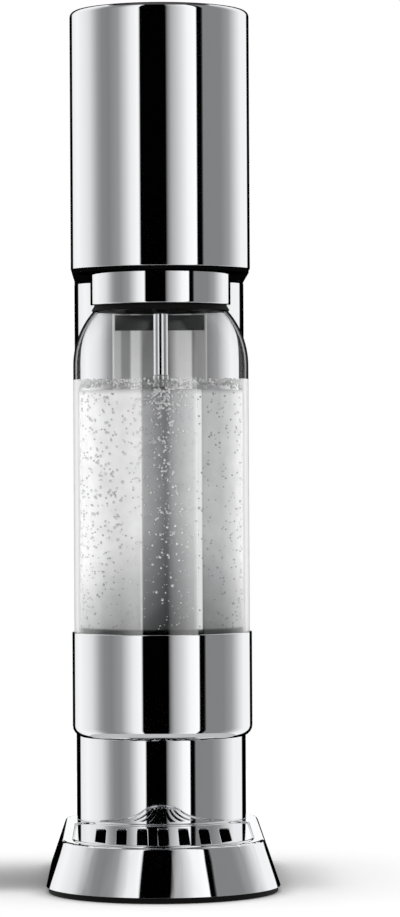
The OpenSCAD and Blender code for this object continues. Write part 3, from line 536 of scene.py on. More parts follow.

# %% [markdown]
# ## Clear bottle material
# The bottle is clear copolyester with a thin wall. It shows mostly what is behind it, and the studio's
# bands on its front. At the outline one looks along the wall, through far more plastic. There the empty
# shoulder gets a painted dark rim: a ramp by the Layer Weight darkens its colour. Where water stands
# behind the wall, the bands read clearly, so that part gets a strong coat, and its outline gets a painted
# pale rim, for the light that the milky water gives from inside.

# %% Bottle plastic
FLOW_LINES = 25.0
FLOW_GLOSS = 0.02
RIM_START = 0.55
RIM_END = 0.72
# Painted rim shade and light: dark at the empty shoulder's outline, pale at the outline before the water.
PAINTED_DARK_RIM = [(0.62, "#FFFFFF"), (0.8, "#1E1F21")]
PAINTED_PALE_RIM = [(0.5, "#FFFFFF"), (0.72, "#F2F2F2"), (0.86, "#E8E8E8"), (0.97, "#B4B4B4")]
NO_RIM = [(0.5, "#FFFFFF"), (1.0, "#F2F2F2")]


def clear_copolyester(name, coat, rim, rim_clear=1.0):
    """Clear plastic with a painted rim tint, which lets the given share of the light through there."""
    material, tree, shader = new_material(name)
    set_inputs(shader, IOR=1.004, Coat_IOR=2.4, Coat_Roughness=0.01)
    edge = add_node(tree, "ShaderNodeLayerWeight", inputs={"Blend": 0.5}).outputs["Facing"]
    tint = add_node(tree, "ShaderNodeValToRGB", inputs={"Fac": edge})
    set_stops(tint.color_ramp, rim)
    tree.links.new(tint.outputs["Color"], shader.inputs["Base Color"])
    for socket, most in (("Transmission Weight", 1.0), ("Coat Weight", coat)):
        share = add_node(
            tree, "ShaderNodeMapRange",
            inputs={
                "Value": edge, "From Min": RIM_START, "From Max": RIM_END,
                "To Min": most, "To Max": most * rim_clear,
            },
        ).outputs[0]
        tree.links.new(share, shader.inputs[socket])
    place = add_node(tree, "ShaderNodeTexCoord").outputs["Object"]
    flow = add_node(
        tree, "ShaderNodeTexNoise", inputs={"Vector": place, "Scale": 1 / (FLOW_LINES * MM), "Detail": 2.0}
    ).outputs[0]
    gloss = add_node(
        tree, "ShaderNodeMapRange", inputs={"Value": flow, "To Min": 0.0, "To Max": FLOW_GLOSS}
    ).outputs[0]
    tree.links.new(gloss, shader.inputs["Roughness"])
    return material


finish["glass"] = clear_copolyester("copolyester_clear_painted_dark_rim", 0.1, PAINTED_DARK_RIM)
glossy_wall = clear_copolyester("copolyester_before_water_painted_pale_rim", 1.0, PAINTED_PALE_RIM, 0.1)
inner_wall = clear_copolyester("copolyester_wet_inside", 0.1, NO_RIM)
for part in frame["record"]["subparts"]:
    data = nodes[part["node"]].data
    data.materials.clear()
    data.materials.append(finish[part["material_slot"]])
# The head's underside is etched ABS: it swallows the light, so the head ends in a clean dark line.
etched = grained(
    "abs_moulded_etched_matt", ("#050505", "#0B0B0B"), (0.8, 0.95), 0.5, 0.3, Specular_IOR_Level=0.0
)
nodes["head_underplate"].data.materials[0] = etched
print("dressed", len(nodes), "packed pieces")

# %% [markdown]
# ## Turned shapes
# Head, ring, cup, bottle and column are round, so each is an outline that is spun about an upright
# axis. The outline is a list of corners, as radius and height in millimetres, and the corners that need
# it have a round, which a vertex bevel cuts. On a mirror the smooth shading must be true, so a Weighted
# Normal modifier keeps flat and straight faces straight right up to their rounded edges.

# %% Spinning an outline
REAR_AXIS = 57.0
FULL_TURN = 2 * math.pi
SAME_PLACE = 0.001


def arc(centre, radius, start, end, count):
    """Points on an arc, from start to end in degrees, in a plane of radius and height."""
    angles = [math.radians(start + (end - start) * i / count) for i in range(count + 1)]
    return [(centre[0] + radius * math.cos(a), centre[1] + radius * math.sin(a)) for a in angles]


def rounded_wire(points, rounds=None, closed=True, steps=5):
    """A wire through points in mm, with a round of so many steps cut at each listed point."""
    bm = bmesh.new()
    verts = [bm.verts.new([side * MM for side in point]) for point in points]
    for first, second in zip(verts, verts[1:] + verts[:1] if closed else verts[1:]):
        bm.edges.new((first, second))
    for index, size in (rounds or {}).items():
        bmesh.ops.bevel(
            bm, geom=[verts[index]], offset=size * MM, offset_type="OFFSET", affect="VERTICES",
            segments=steps, profile=0.5, material=-1,
        )
    return bm


def outline_wire(corners, axis_y, rounds=None, closed=True):
    """A wire of (radius, height) corners beside an upright axis."""
    return rounded_wire([(radius, axis_y, height) for radius, height in corners], rounds, closed)


def spin_wire(bm, wire, axis_y, angle, steps):
    """Spins a wire about an upright axis and gives the wire at the end of the turn."""
    full = abs(angle) >= FULL_TURN
    turned = bmesh.ops.spin(
        bm, geom=wire, cent=(0, axis_y * MM, 0), axis=(0, 0, 1), dvec=(0, 0, 0), angle=angle, steps=steps,
        use_merge=full,
    )
    return turned["geom_last"]


def close_up(bm):
    """Merges doubles and turns the faces outwards."""
    bmesh.ops.remove_doubles(bm, verts=bm.verts, dist=SAME_PLACE * MM)
    bmesh.ops.recalc_face_normals(bm, faces=bm.faces)
    return bm


def turned_shape(corners, axis_y, rounds=None, closed=True, steps=192):
    """A full turn of an outline."""
    bm = outline_wire(corners, axis_y, rounds, closed)
    spin_wire(bm, bm.verts[:] + bm.edges[:], axis_y, FULL_TURN, steps)
    return close_up(bm)


def add_piece(name, bm, material, body, replaced=(), sharp=35.0):
    """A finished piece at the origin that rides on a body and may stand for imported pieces."""
    for face in bm.faces:
        face.smooth = True
    mesh = bpy.data.meshes.new(name)
    bm.to_mesh(mesh)
    bm.free()
    mesh.materials.append(material)
    mesh.set_sharp_from_angle(angle=math.radians(sharp))
    piece = bpy.data.objects.new(name, mesh)
    bpy.context.scene.collection.objects.link(piece)
    even = piece.modifiers.new("true_normals", "WEIGHTED_NORMAL")
    even.keep_sharp = True
    even.weight = 100
    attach(piece, body)
    if replaced:
        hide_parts(*replaced)
    print(name, "is", size_of(piece), "mm")
    return piece


ring_wire = [(33.2, 294.0), (35.2, 294.0), (35.2, 320.0), (33.2, 320.0)]
ring_bm = turned_shape(ring_wire, FRONT_AXIS, {0: 0.5, 1: 0.8, 2: 0.5, 3: 0.5})
add_piece("neck_ring_chrome", ring_bm, chrome, "holder", ["holder_ring"])

# %% [markdown]
# ## The cup round the bottle's foot
# A deep-drawn chrome cup. Its rim is folded over, so the top edge is round, and the bottom has the
# larger round that a drawing tool leaves.

# %% Cup
cup_wire = [(0, 78.0), (45.1, 78.0), (45.1, 130.4), (44.1, 130.4), (44.1, 80.0), (0, 80.0)]
cup_bm = turned_shape(cup_wire, FRONT_AXIS, {1: 5.5, 2: 0.45, 3: 0.45, 4: 4.5}, closed=False)
add_piece("foot_cup_chrome", cup_bm, chrome, "bottle_set", ["bottle_cup"])

# %% [markdown]
# ## The bottle
# A blown bottle has a wall of even thickness, a round foot, and a shoulder that is almost a half ball.
# The outline goes up the outside and down the inside. Its shoulder is an arc worked out by formula, and
# the wall gets thicker towards the neck, as it does when a bottle is blown from a thick blank.

# %% Bottle
SHOULDER = (2.5, 263.9)
NECK_RADIUS = 24.0
NECK_BORE = 20.8
OUTER_ARC = 41.5
INNER_ARC = 39.5
SHOULDER_STEPS = 20
FOAM_TOP = 256.8
BOTTLE_MIDDLE = 180.0
GLOSSY = 1  # places in the bottle's list of materials
INNER = 2

outer_end = math.degrees(math.acos((NECK_RADIUS - SHOULDER[0]) / OUTER_ARC))
inner_end = math.degrees(math.acos((NECK_BORE - SHOULDER[0]) / INNER_ARC))
bottle_wire = [(0, 80.0), (44.0, 80.0), (44.0, FOAM_TOP)]
bottle_wire += arc(SHOULDER, OUTER_ARC, 0, outer_end, SHOULDER_STEPS)
bottle_wire += [(NECK_RADIUS, 303.0), (26.6, 303.0), (26.6, 306.0), (NECK_RADIUS, 306.0)]
bottle_wire += [(NECK_RADIUS, 312.0), (NECK_BORE, 312.0)]
bottle_wire += arc(SHOULDER, INNER_ARC, inner_end, 0, SHOULDER_STEPS)
bottle_wire += [(42.0, 83.0), (0, 83.0)]
bead = 3 + SHOULDER_STEPS + 2
bottle_rounds = {1: 7.0, bead: 0.8, bead + 1: 0.8, bead + 3: 0.6, bead + 4: 0.6}
bottle_rounds[len(bottle_wire) - 2] = 5.0
bottle_bm = turned_shape(bottle_wire, FRONT_AXIS, bottle_rounds, closed=False)
bottle = add_piece("bottle_clear", bottle_bm, finish["glass"], "bottle_set", ["bottle"])
bottle.data.materials.append(glossy_wall)
bottle.data.materials.append(inner_wall)
for face in bottle.data.polygons:
    outwards = face.center - Vector((0, FRONT_AXIS, BOTTLE_MIDDLE)) * MM
    if face.normal.dot(outwards) < 0:
        face.material_index = INNER
    elif face.center.z < FOAM_TOP * MM:
        face.material_index = GLOSSY
print("bottle has", len(bottle.data.polygons), "faces")

# %% [markdown]
# ## Water and gas
# The bottle is filled to the nozzle and the gas is just rising. Fine gas makes the water milky, in a
# fine random cloud. Its light and dark are painted light and shade in its colour: pale at the left
# wall, dark in the middle, darker towards the foot, with a painted dark line just above the cup and a
# darker band at the surface. One painted light streak stands upright at the right, where real water
# gathers the light from the side, and a faint one stands left of the middle. Clear water would bend the
# light so much that the column behind it turned into one dark bar, so the water here bends it only a
# little, and ramps across and upwards give its light and dark.

# %% Water
WATER_TOP = 251.3
WATER_FLOOR = 83.2
WATER_RADIUS = 41.0
MIST_GRAIN = 8.0
SHADE_HALF_WIDTH = 42.0
MIST_CLOUD = (0.8, 1.15)
SHADE_LOW = 128.0
SHADE_HIGH = 258.0
SHADE_TILT = 0.8
SHADE_MIDDLE = 3.0
# Painted light and shade: across the water, its light streaks, upwards, and at its foot and surface.
PAINTED_SHADE_ACROSS = [
    (0.0, "#FFFFFF"), (0.14, "#F8F8F8"), (0.28, "#E8E8E8"), (0.365, "#DEDEDE"), (0.395, "#B8BABA"),
    (0.46, "#A4A6A7"), (0.52, "#888A8B"), (0.58, "#A2A4A5"), (0.72, "#BEC0C0"), (0.85, "#CACCCC"),
    (0.93, "#E4E4E4"), (1.0, "#FFFFFF"),
]
PAINTED_LIGHT_STREAK = [
    (0.368, "#000000"), (0.374, "#A0A0A0"), (0.379, "#A0A0A0"), (0.384, "#000000"), (0.63, "#000000"),
    (0.68, "#404040"), (0.7, "#989898"), (0.715, "#FFFFFF"), (0.732, "#FFFFFF"), (0.738, "#000000"),
]
PAINTED_SHADE_UPWARDS = [
    (0.03, "#747575"), (0.077, "#808181"), (0.123, "#8F9090"), (0.177, "#ABACAC"), (0.25, "#BDBEBE"),
    (0.34, "#D1D2D2"), (0.44, "#EDEDED"), (0.52, "#FFFFFF"),
]
PAINTED_SHADE_AT_ENDS = [
    (0.02, "#141414"), (0.034, "#5A5A5A"), (0.04, "#FFFFFF"), (0.93, "#FFFFFF"), (0.948, "#C8C8C8"),
]


def milky_water_painted_light():
    """Water with painted light and shade by its place across and upwards, and a fine cloud over all."""
    material, tree, shader = new_material("water_milky_with_gas_and_painted_light")
    set_inputs(shader, Transmission_Weight=0.15, IOR=1.02, Roughness=0.0, Specular_IOR_Level=0.0)
    place = add_node(tree, "ShaderNodeTexCoord").outputs["Object"]
    spot = add_node(tree, "ShaderNodeSeparateXYZ", inputs={0: place}).outputs
    shifted = add_node(
        tree, "ShaderNodeMath", {"operation": "SUBTRACT"}, {0: spot["X"], 1: SHADE_MIDDLE * MM}
    ).outputs[0]
    aside = add_node(tree, "ShaderNodeMath", {"operation": "ABSOLUTE"}, {0: shifted}).outputs[0]
    level = add_node(
        tree, "ShaderNodeMath", {"operation": "MULTIPLY_ADD"}, {0: aside, 1: SHADE_TILT, 2: spot["Z"]}
    ).outputs[0]
    mist = add_node(
        tree, "ShaderNodeTexNoise", inputs={"Vector": place, "Scale": 1 / (MIST_GRAIN * MM), "Detail": 6.0}
    ).outputs[0]
    cloud = add_node(
        tree, "ShaderNodeMapRange", inputs={"Value": mist, "To Min": MIST_CLOUD[0], "To Max": MIST_CLOUD[1]}
    ).outputs[0]
    milk_and_painted_light = shades_along(tree, spot["X"], -SHADE_HALF_WIDTH, SHADE_HALF_WIDTH, PAINTED_SHADE_ACROSS)
    for layer in (shades_along(tree, level, SHADE_LOW, SHADE_HIGH, PAINTED_SHADE_UPWARDS), cloud):
        milk_and_painted_light = add_node(tree, "ShaderNodeMix", TINTED, {0: 1.0, 6: milk_and_painted_light, 7: layer}).outputs[2]
    streak = shades_along(tree, spot["X"], -SHADE_HALF_WIDTH, SHADE_HALF_WIDTH, PAINTED_LIGHT_STREAK)
    milk_and_painted_light = add_node(
        tree, "ShaderNodeMix", MIXED_COLOURS, {0: streak, 6: milk_and_painted_light, 7: linear("#FFFFFF")}
    ).outputs[2]
    milk_and_painted_light = add_node(
        tree, "ShaderNodeMix", TINTED,
        {0: 1.0, 6: milk_and_painted_light, 7: shades_along(tree, spot["Z"], SHADE_LOW, SHADE_HIGH, PAINTED_SHADE_AT_ENDS)},
    ).outputs[2]
    tree.links.new(milk_and_painted_light, shader.inputs["Base Color"])
    return material


water_wire = [(0, WATER_FLOOR), (WATER_RADIUS, WATER_FLOOR), (WATER_RADIUS, WATER_TOP), (0, WATER_TOP)]
water_bm = turned_shape(water_wire, FRONT_AXIS, {1: 4.9, 2: 0.8}, closed=False)
add_piece("water_body", water_bm, milky_water_painted_light(), "bottle_set")

# %% [markdown]
# ## Bubbles
# Bubbles cling to the inside of the wall, in the thin space between the water body and the bottle: fine
# ones everywhere, bigger ones at the left, a plume below the nozzle, and a row of foam along the
# surface. Each has only a few dozen faces, because there are hundreds of them. Gas in water throws the
# light back, so they are silvery. Their dark rim is painted shade: a ramp by the Layer Weight darkens
# their colour towards the outline, thinly on most, and widely on the fine ones on pale water, which
# would not show there without it.

# %% Bubbles
BUBBLE_SEED = 7
WALL_REACH = 41.8
FILM_CLOUD = 5.0
THIN_PAINTED_RIM = 0.38
WIDE_PAINTED_RIM = 0.85
FOAM_ROOM = 0.4
DARK_WATER = (-10.5, 16.0)
BUBBLE_KINDS = {"fine": 1100, "left": 110, "plume": 380, "foam": 560, "cluster": 70}


def gas_bubble(name, rim):
    """A silvery bubble with a painted dark rim. A bigger rim value gives a wider painted rim."""
    material, tree, shader = new_material(name)
    set_inputs(shader, Transmission_Weight=0.2, IOR=1.33, Roughness=0.0, Metallic=0.6)
    set_inputs(shader, Coat_Weight=1.0, Coat_IOR=3.0)
    place = add_node(tree, "ShaderNodeTexCoord").outputs["Object"]
    film = add_node(
        tree, "ShaderNodeTexNoise", inputs={"Vector": place, "Scale": 1 / (FILM_CLOUD * MM)}
    ).outputs[0]
    white = add_node(
        tree, "ShaderNodeMix", MIXED_COLOURS, {0: film, 6: linear("#F4F4F4"), 7: linear("#FFFFFF")}
    ).outputs[2]
    # Painted shade: the colour darkens to a dark rim towards the outline.
    edge = add_node(tree, "ShaderNodeLayerWeight", inputs={"Blend": rim}).outputs["Facing"]
    tint = add_node(
        tree, "ShaderNodeMix", MIXED_COLOURS, {0: edge, 6: white, 7: linear("#2A2B2C")}
    ).outputs[2]
    tree.links.new(tint, shader.inputs["Base Color"])
    return material


def bubble_place(kind, chance):
    """Angle round the bottle from the camera side, height in mm and radius in mm of one bubble."""
    if kind == "fine":
        angle = chance.uniform(-130, 130)
        height = chance.uniform(133, 250)
        size = chance.uniform(0.25, 0.5)
    elif kind == "left":
        angle = chance.gauss(-48, 16)
        height = chance.uniform(170, 250)
        size = chance.uniform(0.55, 0.95)
    elif kind == "plume":
        angle = chance.gauss(2, 10)
        height = chance.triangular(140, 252, 246)
        size = chance.choice((0.35, 0.45, 0.6, 0.8, 0.95))
    elif kind == "cluster":
        angle = chance.gauss(2, 7)
        height = chance.triangular(240, 252, 251)
        size = chance.uniform(0.5, 1.0)
    else:
        angle = chance.uniform(7, 353)
        height = FOAM_TOP - FOAM_ROOM - abs(chance.gauss(0, 1.5))
        size = chance.uniform(0.35, 0.8)
    return angle, height, size


ball_bm = bmesh.new()
bmesh.ops.create_uvsphere(ball_bm, u_segments=8, v_segments=5, radius=1.0)
ball = bpy.data.meshes.new("bubble_ball")
ball_bm.to_mesh(ball)
ball_bm.free()
chance = random.Random(BUBBLE_SEED)
bubble_bm = bmesh.new()
for kind, count in BUBBLE_KINDS.items():
    for _ in range(count):
        angle, height, size = bubble_place(kind, chance)
        heading = math.radians(angle)
        reach = WALL_REACH - size
        spot = Vector((reach * math.sin(heading), FRONT_AXIS - reach * math.cos(heading), height)) * MM
        bubble = ball.copy()
        bubble.transform(Matrix.Translation(spot) @ Matrix.Scale(size * MM, 4))
        bubble_bm.from_mesh(bubble)
        bpy.data.meshes.remove(bubble)
bpy.data.meshes.remove(ball)
bubbles = add_piece(
    "gas_bubbles", bubble_bm, gas_bubble("gas_bubble_silvery_painted_rim", THIN_PAINTED_RIM), "bottle_set", sharp=180.0
)
bubbles.data.materials.append(gas_bubble("gas_bubble_fine_painted_dark_rim", WIDE_PAINTED_RIM))
faces_each = len(bubbles.data.polygons) // sum(BUBBLE_KINDS.values())
for face in bubbles.data.polygons:
    on_dark = DARK_WATER[0] * MM < face.center.x < DARK_WATER[1] * MM
    face.material_index = int(face.index < faces_each * BUBBLE_KINDS["fine"] and not on_dark)
print("made", sum(BUBBLE_KINDS.values()), "bubbles with", faces_each, "faces each")

# %% [markdown]
# ## Lip round the bottle's shoulder
# A black rubber lip closes the ring round the shoulder, so that no light falls into the holder. Its
# outline follows the shoulder's arc a little way off.

# %% Shoulder lip
LIP_GAP = 0.35
LIP_LOW = 40.5
LIP_HIGH = 55.5
LIP_ROUND = 0.4
LIP_STEPS = 5

lip_inside = arc(SHOULDER, OUTER_ARC + LIP_GAP, LIP_LOW, LIP_HIGH, LIP_STEPS)
lip_wire = lip_inside + [(30.5, 299.8), (33.0, 299.8), (33.0, 294.2), (34.6, 291.6)]
lip_bm = turned_shape(lip_wire, FRONT_AXIS, {len(lip_inside): LIP_ROUND, len(lip_inside) + 1: LIP_ROUND})
add_piece("shoulder_lip", lip_bm, finish["rubber"], "holder")

# %% [markdown]
# ## Carbonating tube and its tip
# The gas comes down a steel tube that is drawn and polished, into a turned tip with a groove and a
# chamfered end. Both are outlines again, with the bore left open at the bottom.

# %% Tube and tip
tube_wire = [(1.6, 259.0), (3.65, 259.0), (3.65, 325.0), (1.6, 325.0)]
tube_bm = turned_shape(tube_wire, FRONT_AXIS, {1: 0.3, 2: 0.3}, steps=64)
add_piece("gas_tube_polished", tube_bm, chrome, "holder", ["nozzle_tube"])
tip_wire = [(0.8, 251.5), (2.6, 251.5), (4.0, 253.2), (4.0, 255.2), (3.3, 255.6), (3.3, 256.2), (4.0, 256.6)]
tip_wire += [(4.0, 259.0), (0.8, 259.0)]
tip_bm = turned_shape(tip_wire, FRONT_AXIS, {1: 0.3, 2: 0.3, 3: 0.15, 6: 0.15, 7: 0.3}, steps=64)
add_piece("gas_tip_turned", tip_bm, finish["clear_tip"], "holder", ["nozzle_tip"])

# %% [markdown]
# ## The column
# Half a tube with a thin wall. It is an outline as well, spun only half round, and its two cut ends are
# filled.

# %% Column
HALF_STEPS = 120


def fill_ends(bm):
    """Closes each open end with a face."""
    bmesh.ops.holes_fill(bm, edges=[edge for edge in bm.edges if edge.is_boundary], sides=0)


column_wire = [(43.5, 26.4), (45.0, 26.4), (45.0, 310.2), (43.5, 310.2)]
column_bm = outline_wire(column_wire, REAR_AXIS, {0: 0.2, 1: 0.3, 2: 0.3, 3: 0.2})
spin_wire(column_bm, column_bm.verts[:] + column_bm.edges[:], REAR_AXIS, -math.pi, HALF_STEPS)
fill_ends(column_bm)
add_piece("column_front_chrome", close_up(column_bm), chrome, "stand", ["column_shell"])

# %% [markdown]
# ## The head
# The head's shell is an oval tube: two half turns and two straight walls. So the outline is spun half
# round the front axis, pulled straight back, spun half round the rear axis and pulled forward to where
# it began. The rear half below the top belongs to the rear cover, so it is cut away there and the cut
# wall is closed by bridging its two edges.

# %% Head shell
SPAN = REAR_AXIS - FRONT_AXIS


def oval_shape(corners, rounds):
    """An outline led round both axes, as a rounded oval."""
    bm = outline_wire(corners, FRONT_AXIS, rounds)
    wire = spin_wire(bm, bm.verts[:] + bm.edges[:], FRONT_AXIS, -math.pi, HALF_STEPS)
    wire = pull(bm, wire, (0, SPAN, 0))
    wire = spin_wire(bm, wire, REAR_AXIS, -math.pi, HALF_STEPS)
    pull(bm, wire, (0, -SPAN, 0))
    return close_up(bm)


HEAD_CUT_Y = 56.75
HEAD_CUT_Z = 424.9
HEAD_RIM = 312.6  # just above the round of the head's lower edge
head_wire = [(45.0, 312.0), (45.0, 441.5), (38.8, 441.5), (38.8, 439.0), (43.5, 439.0), (43.5, 312.0)]
head_bm = oval_shape(head_wire, {0: 0.4, 1: 2.8, 2: 0.4, 3: 0.3, 4: 1.8})
for place, normal in (((0, HEAD_CUT_Y * MM, 0), (0, 1, 0)), ((0, 0, HEAD_CUT_Z * MM), (0, 0, 1))):
    everything = head_bm.verts[:] + head_bm.edges[:] + head_bm.faces[:]
    bmesh.ops.bisect_plane(head_bm, geom=everything, dist=1e-7, plane_co=place, plane_no=normal)
cut_away = [
    face for face in head_bm.faces
    if face.calc_center_median().y > HEAD_CUT_Y * MM and face.calc_center_median().z < HEAD_CUT_Z * MM
]
bmesh.ops.delete(head_bm, geom=cut_away, context="FACES")
open_edges = [edge for edge in head_bm.edges if edge.is_boundary]
rims = [edge for edge in open_edges if max(v.co.z for v in edge.verts) > HEAD_RIM * MM]
bmesh.ops.bridge_loops(head_bm, edges=rims)
fill_ends(head_bm)
add_piece("head_shell_chrome", close_up(head_bm), chrome, "stand", ["head_shell"])

# %% [markdown]
# ## Rest plate behind the bottle
# Through the bottle's shoulder a flat grey panel shows in front of the column. It is made here as a
# steel sheet with bent sides: its outline from above is a wire with two rounded corners, which is
# pulled upwards and then gets a wall. The sheet is brushed upright, so it mirrors its surroundings only
# as soft upright bands. They are too faint at this distance from the studio's cloth, so a ramp across
# the sheet deepens them.

# %% Rest plate
PLATE_HALF_WIDTH = 24.6
PLATE_FRONT = 10.6
PLATE_BACK = 19.0
PLATE_LOW = 96.0
PLATE_HIGH = 309.0
PLATE_WALL = 1.0
PLATE_CORNER = 1.3

# Painted reflections: upright light and dark bands that deepen the sheet's own faint mirror bands.
PLATE_PAINTED_REFLECTIONS = [
    (0.0, "#E4E4E4"), (0.08, "#E0E0E0"), (0.1, "#AAAAAA"), (0.18, "#A4A4A4"), (0.2, "#FFFFFF"),
    (0.28, "#FFFFFF"), (0.32, "#9C9C9C"), (0.6, "#A2A2A2"), (0.68, "#F8F8F8"), (0.83, "#FFFFFF"),
    (0.85, "#8C8C8C"), (0.88, "#B4B4B4"), (1.0, "#B8B8B8"),
]


def band_across(material, stops, half_width):
    """Multiplies a material's colour with upright bands of painted reflection."""
    tree = material.node_tree
    colour = tree.nodes["Principled BSDF"].inputs["Base Color"]
    place = add_node(tree, "ShaderNodeTexCoord").outputs["Object"]
    across = add_node(tree, "ShaderNodeSeparateXYZ", inputs={0: place}).outputs["X"]
    bands = shades_along(tree, across, -half_width, half_width, stops)
    banded = add_node(
        tree, "ShaderNodeMix", TINTED, {0: 1.0, 6: colour.links[0].from_socket, 7: bands}
    ).outputs[2]
    tree.links.new(banded, colour)


brushed = grained(
    "stainless_sheet_brushed_painted_reflections", ("#F0F0F1", "#FFFFFF"), (0.42, 0.56), 2.0, 0.04, 0.3, (3.0, 3.0, 0.03)
)
band_across(brushed, PLATE_PAINTED_REFLECTIONS, PLATE_HALF_WIDTH)
plan = [(-PLATE_HALF_WIDTH, PLATE_BACK), (-PLATE_HALF_WIDTH, PLATE_FRONT)]
plan += [(PLATE_HALF_WIDTH, PLATE_FRONT), (PLATE_HALF_WIDTH, PLATE_BACK)]
plan_points = [(x, y, PLATE_LOW) for x, y in plan]
plate_bm = rounded_wire(plan_points, {1: PLATE_CORNER, 2: PLATE_CORNER}, closed=False, steps=6)
pull(plate_bm, plate_bm.edges[:], (0, 0, PLATE_HIGH - PLATE_LOW))
bmesh.ops.recalc_face_normals(plate_bm, faces=plate_bm.faces)
bmesh.ops.solidify(plate_bm, geom=plate_bm.faces[:], thickness=PLATE_WALL * MM)
add_piece("rest_plate_brushed", close_up(plate_bm), brushed, "stand")

# %% [markdown]
# ## Buffer on the rest plate
# A dark rubber strip lies across the plate at the height of the bottle's shoulder, where the bottle
# would knock against the steel. Its dark face is also painted shade: made this tall, it stands for the
# plate's dark reflection of the shoulder lip. Its outline from the side is a wire with rounded corners
# that is pulled across the plate.

# %% Rubber buffer
# Painted shade: the strip is this tall to cover the plate's dark reflection of the shoulder lip.
BUFFER_LOW = 284.0
BUFFER_HIGH = 292.0
BUFFER_FRONT = 9.4
BUFFER_ROUND = 0.7
BUFFER_HALF_WIDTH = PLATE_HALF_WIDTH - PLATE_CORNER

side = [(PLATE_FRONT, BUFFER_LOW), (BUFFER_FRONT, BUFFER_LOW)]
side += [(BUFFER_FRONT, BUFFER_HIGH), (PLATE_FRONT, BUFFER_HIGH)]
side_points = [(-BUFFER_HALF_WIDTH, y, z) for y, z in side]
buffer_bm = rounded_wire(side_points, {1: BUFFER_ROUND, 2: BUFFER_ROUND})
pull(buffer_bm, buffer_bm.edges[:], (2 * BUFFER_HALF_WIDTH, 0, 0))
fill_ends(buffer_bm)
# EPDM rubber with a grey filler: dull like the black one, but it stands out from it.
grey_rubber_painted_shade = grained(
    "epdm_rubber_grey_painted_shade", ("#222324", "#2D2E2F"), (0.6, 0.8), 1.5, 0.2, Specular_IOR_Level=0.15
)
add_piece("rest_buffer_painted_shade", close_up(buffer_bm), grey_rubber_painted_shade, "stand")

# %% [markdown]
# ## Pressed chrome edges
# The base, its grille, the rear cover and the press plate are pressed metal, and pressing rounds every
# edge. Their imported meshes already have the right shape, so a copy is merged, its flat parts are joined
# to single faces, and its edges are rounded by a bevel.

# %% Rounded copies of the pressed pieces
MESH_GRID = 0.002
FLAT_ANGLE = math.radians(0.5)
SHARP_ANGLE = math.radians(40.0)


def merged_copy(node):
    """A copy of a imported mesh, whose loose triangles are joined."""
    bm = bmesh.new()
    bm.from_mesh(nodes[node].data)
    bmesh.ops.remove_doubles(bm, verts=bm.verts, dist=MESH_GRID * MM)
    return bm


def rounded_copy(node, name, size, body, slot="chrome"):
    """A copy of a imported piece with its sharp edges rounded."""
    bm = merged_copy(node)
    bmesh.ops.dissolve_limit(bm, angle_limit=FLAT_ANGLE, verts=bm.verts, edges=bm.edges)
    edges = [edge for edge in bm.edges if edge.is_manifold and edge.calc_face_angle() > SHARP_ANGLE]
    bmesh.ops.bevel(
        bm, geom=edges, offset=size * MM, offset_type="OFFSET", affect="EDGES", segments=3, profile=0.5,
        material=-1, clamp_overlap=True,
    )
    add_piece(name, bm, finish[slot], body, [node])


rounded_copy("base_cover", "base_cover_chrome", 0.6, "stand")
rounded_copy("drip_grille", "drip_grille_chrome", 0.45, "drip_tray")
rounded_copy("rear_cover", "rear_cover_chrome", 0.4, "cover")
rounded_copy("press_plate", "press_plate_chrome", 0.5, "press_lever")

# %% [markdown]
# ## Moulded and cast edges
# Behind the rear cover the lever, the valve block and the carriage can be seen, under the grille the
# tub, and under the base the foot ring. A mould or a milling cutter never leaves a knife edge, so these
# get the same treatment with their own sizes.

# %% Rounded copies of inner pieces
rounded_copy("connect_lever", "connect_lever_moulded", 0.6, "connector", "handle")
rounded_copy("valve_block", "valve_block_milled", 0.4, "stand", "brass")
rounded_copy("carriage", "carriage_pressed", 0.3, "gas_carriage", "steel")
rounded_copy("drip_tub", "drip_tub_moulded", 0.4, "drip_tray", "dark_plastic")
rounded_copy("foot_ring", "foot_ring_moulded", 0.5, "stand", "rubber")

# %% [markdown]
# ## Rolled rim of the grille
# The grille's outer edge is rolled over, which gives it a thin bead that catches the light between two
# dark lines. The bead is a round wire along the top outline. The outline is read from the packed
# grille: the longest closed chain of edges at the height of its top face.

# %% Grille bead
BEAD_RADIUS = 0.6
TOP_FACE_DEPTH = 0.05


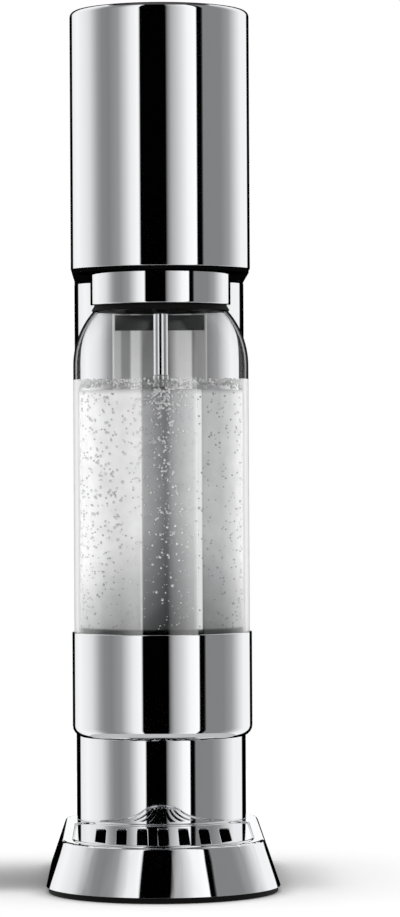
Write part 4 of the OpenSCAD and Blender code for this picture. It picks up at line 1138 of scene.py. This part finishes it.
def top_outline(node):
    """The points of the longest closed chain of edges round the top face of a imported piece."""
    bm = merged_copy(node)
    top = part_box(node)[1][2] - TOP_FACE_DEPTH * MM
    rim = []
    for edge in bm.edges:
        level = [min(v.co.z for v in face.verts) > top for face in edge.link_faces]
        if level.count(True) == 1:
            rim.append(edge)
    chains = []
    while rim:
        edge = rim.pop()
        chain = [edge.verts[0], edge.verts[1]]
        while True:
            following = [e for e in chain[-1].link_edges if e in rim]
            if not following:
                break
            rim.remove(following[0])
            chain.append(following[0].other_vert(chain[-1]))
        chains.append([v.co.copy() for v in chain])
    bm.free()
    return max(chains, key=lambda chain: sum((b - a).length for a, b in zip(chain, chain[1:])))


def bead_along(points, radius):
    """A round wire along a closed chain of points."""
    path = bpy.data.curves.new("bead_path", "CURVE")
    path.dimensions = "3D"
    path.bevel_depth = radius * MM
    path.bevel_resolution = 4
    line = path.splines.new("POLY")
    line.points.add(len(points) - 2)
    for point, place in zip(line.points, points[:-1]):
        point.co = (*place, 1.0)
    line.use_cyclic_u = True
    holder = bpy.data.objects.new("bead_path", path)
    bm = bmesh.new()
    bm.from_mesh(holder.to_mesh())
    holder.to_mesh_clear()
    bpy.data.objects.remove(holder)
    bpy.data.curves.remove(path)
    return close_up(bm)


rim_points = top_outline("drip_grille")
bead_bm = bead_along(rim_points, BEAD_RADIUS)
add_piece("grille_bead_chrome", bead_bm, chrome, "drip_tray", sharp=180.0)
print("bead follows", len(rim_points), "points")

# %% [markdown]
# ## Return springs
# The press lever and the push rod come back by wire springs. A small ring of points is spun upwards
# along a helix.

# %% Springs
TURN_STEPS = 28
WIRE_FACETS = 10


def wire_spring(name, centre, coil, wire, bottom, top, turns, node):
    """A wire coil between two heights in mm."""
    bm = bmesh.new()
    start = Matrix.Translation(Vector((centre[0] + coil, centre[1], bottom + wire / 2)) * MM)
    upright = start @ Matrix.Rotation(math.radians(90), 4, "X")
    bmesh.ops.create_circle(bm, radius=wire / 2 * MM, segments=WIRE_FACETS, matrix=upright)
    steps = TURN_STEPS * turns
    rise = (top - bottom - wire) * MM / steps
    bmesh.ops.spin(
        bm, geom=bm.verts[:] + bm.edges[:], cent=Vector((centre[0], centre[1], bottom)) * MM, axis=(0, 0, 1),
        dvec=(0, 0, rise), angle=FULL_TURN * turns, steps=steps, use_merge=False,
    )
    fill_ends(bm)
    piece = add_piece(name, close_up(bm), finish["steel"], "stand", [node])
    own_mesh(piece)


wire_spring("lever_return_spring", (0, 0), 7.0, 1.4, 400.0, 431.5, 7, "lever_spring")
wire_spring("rod_return_spring", (0, REAR_AXIS), 4.0, 0.9, 413.0, 421.5, 4, "rod_spring")
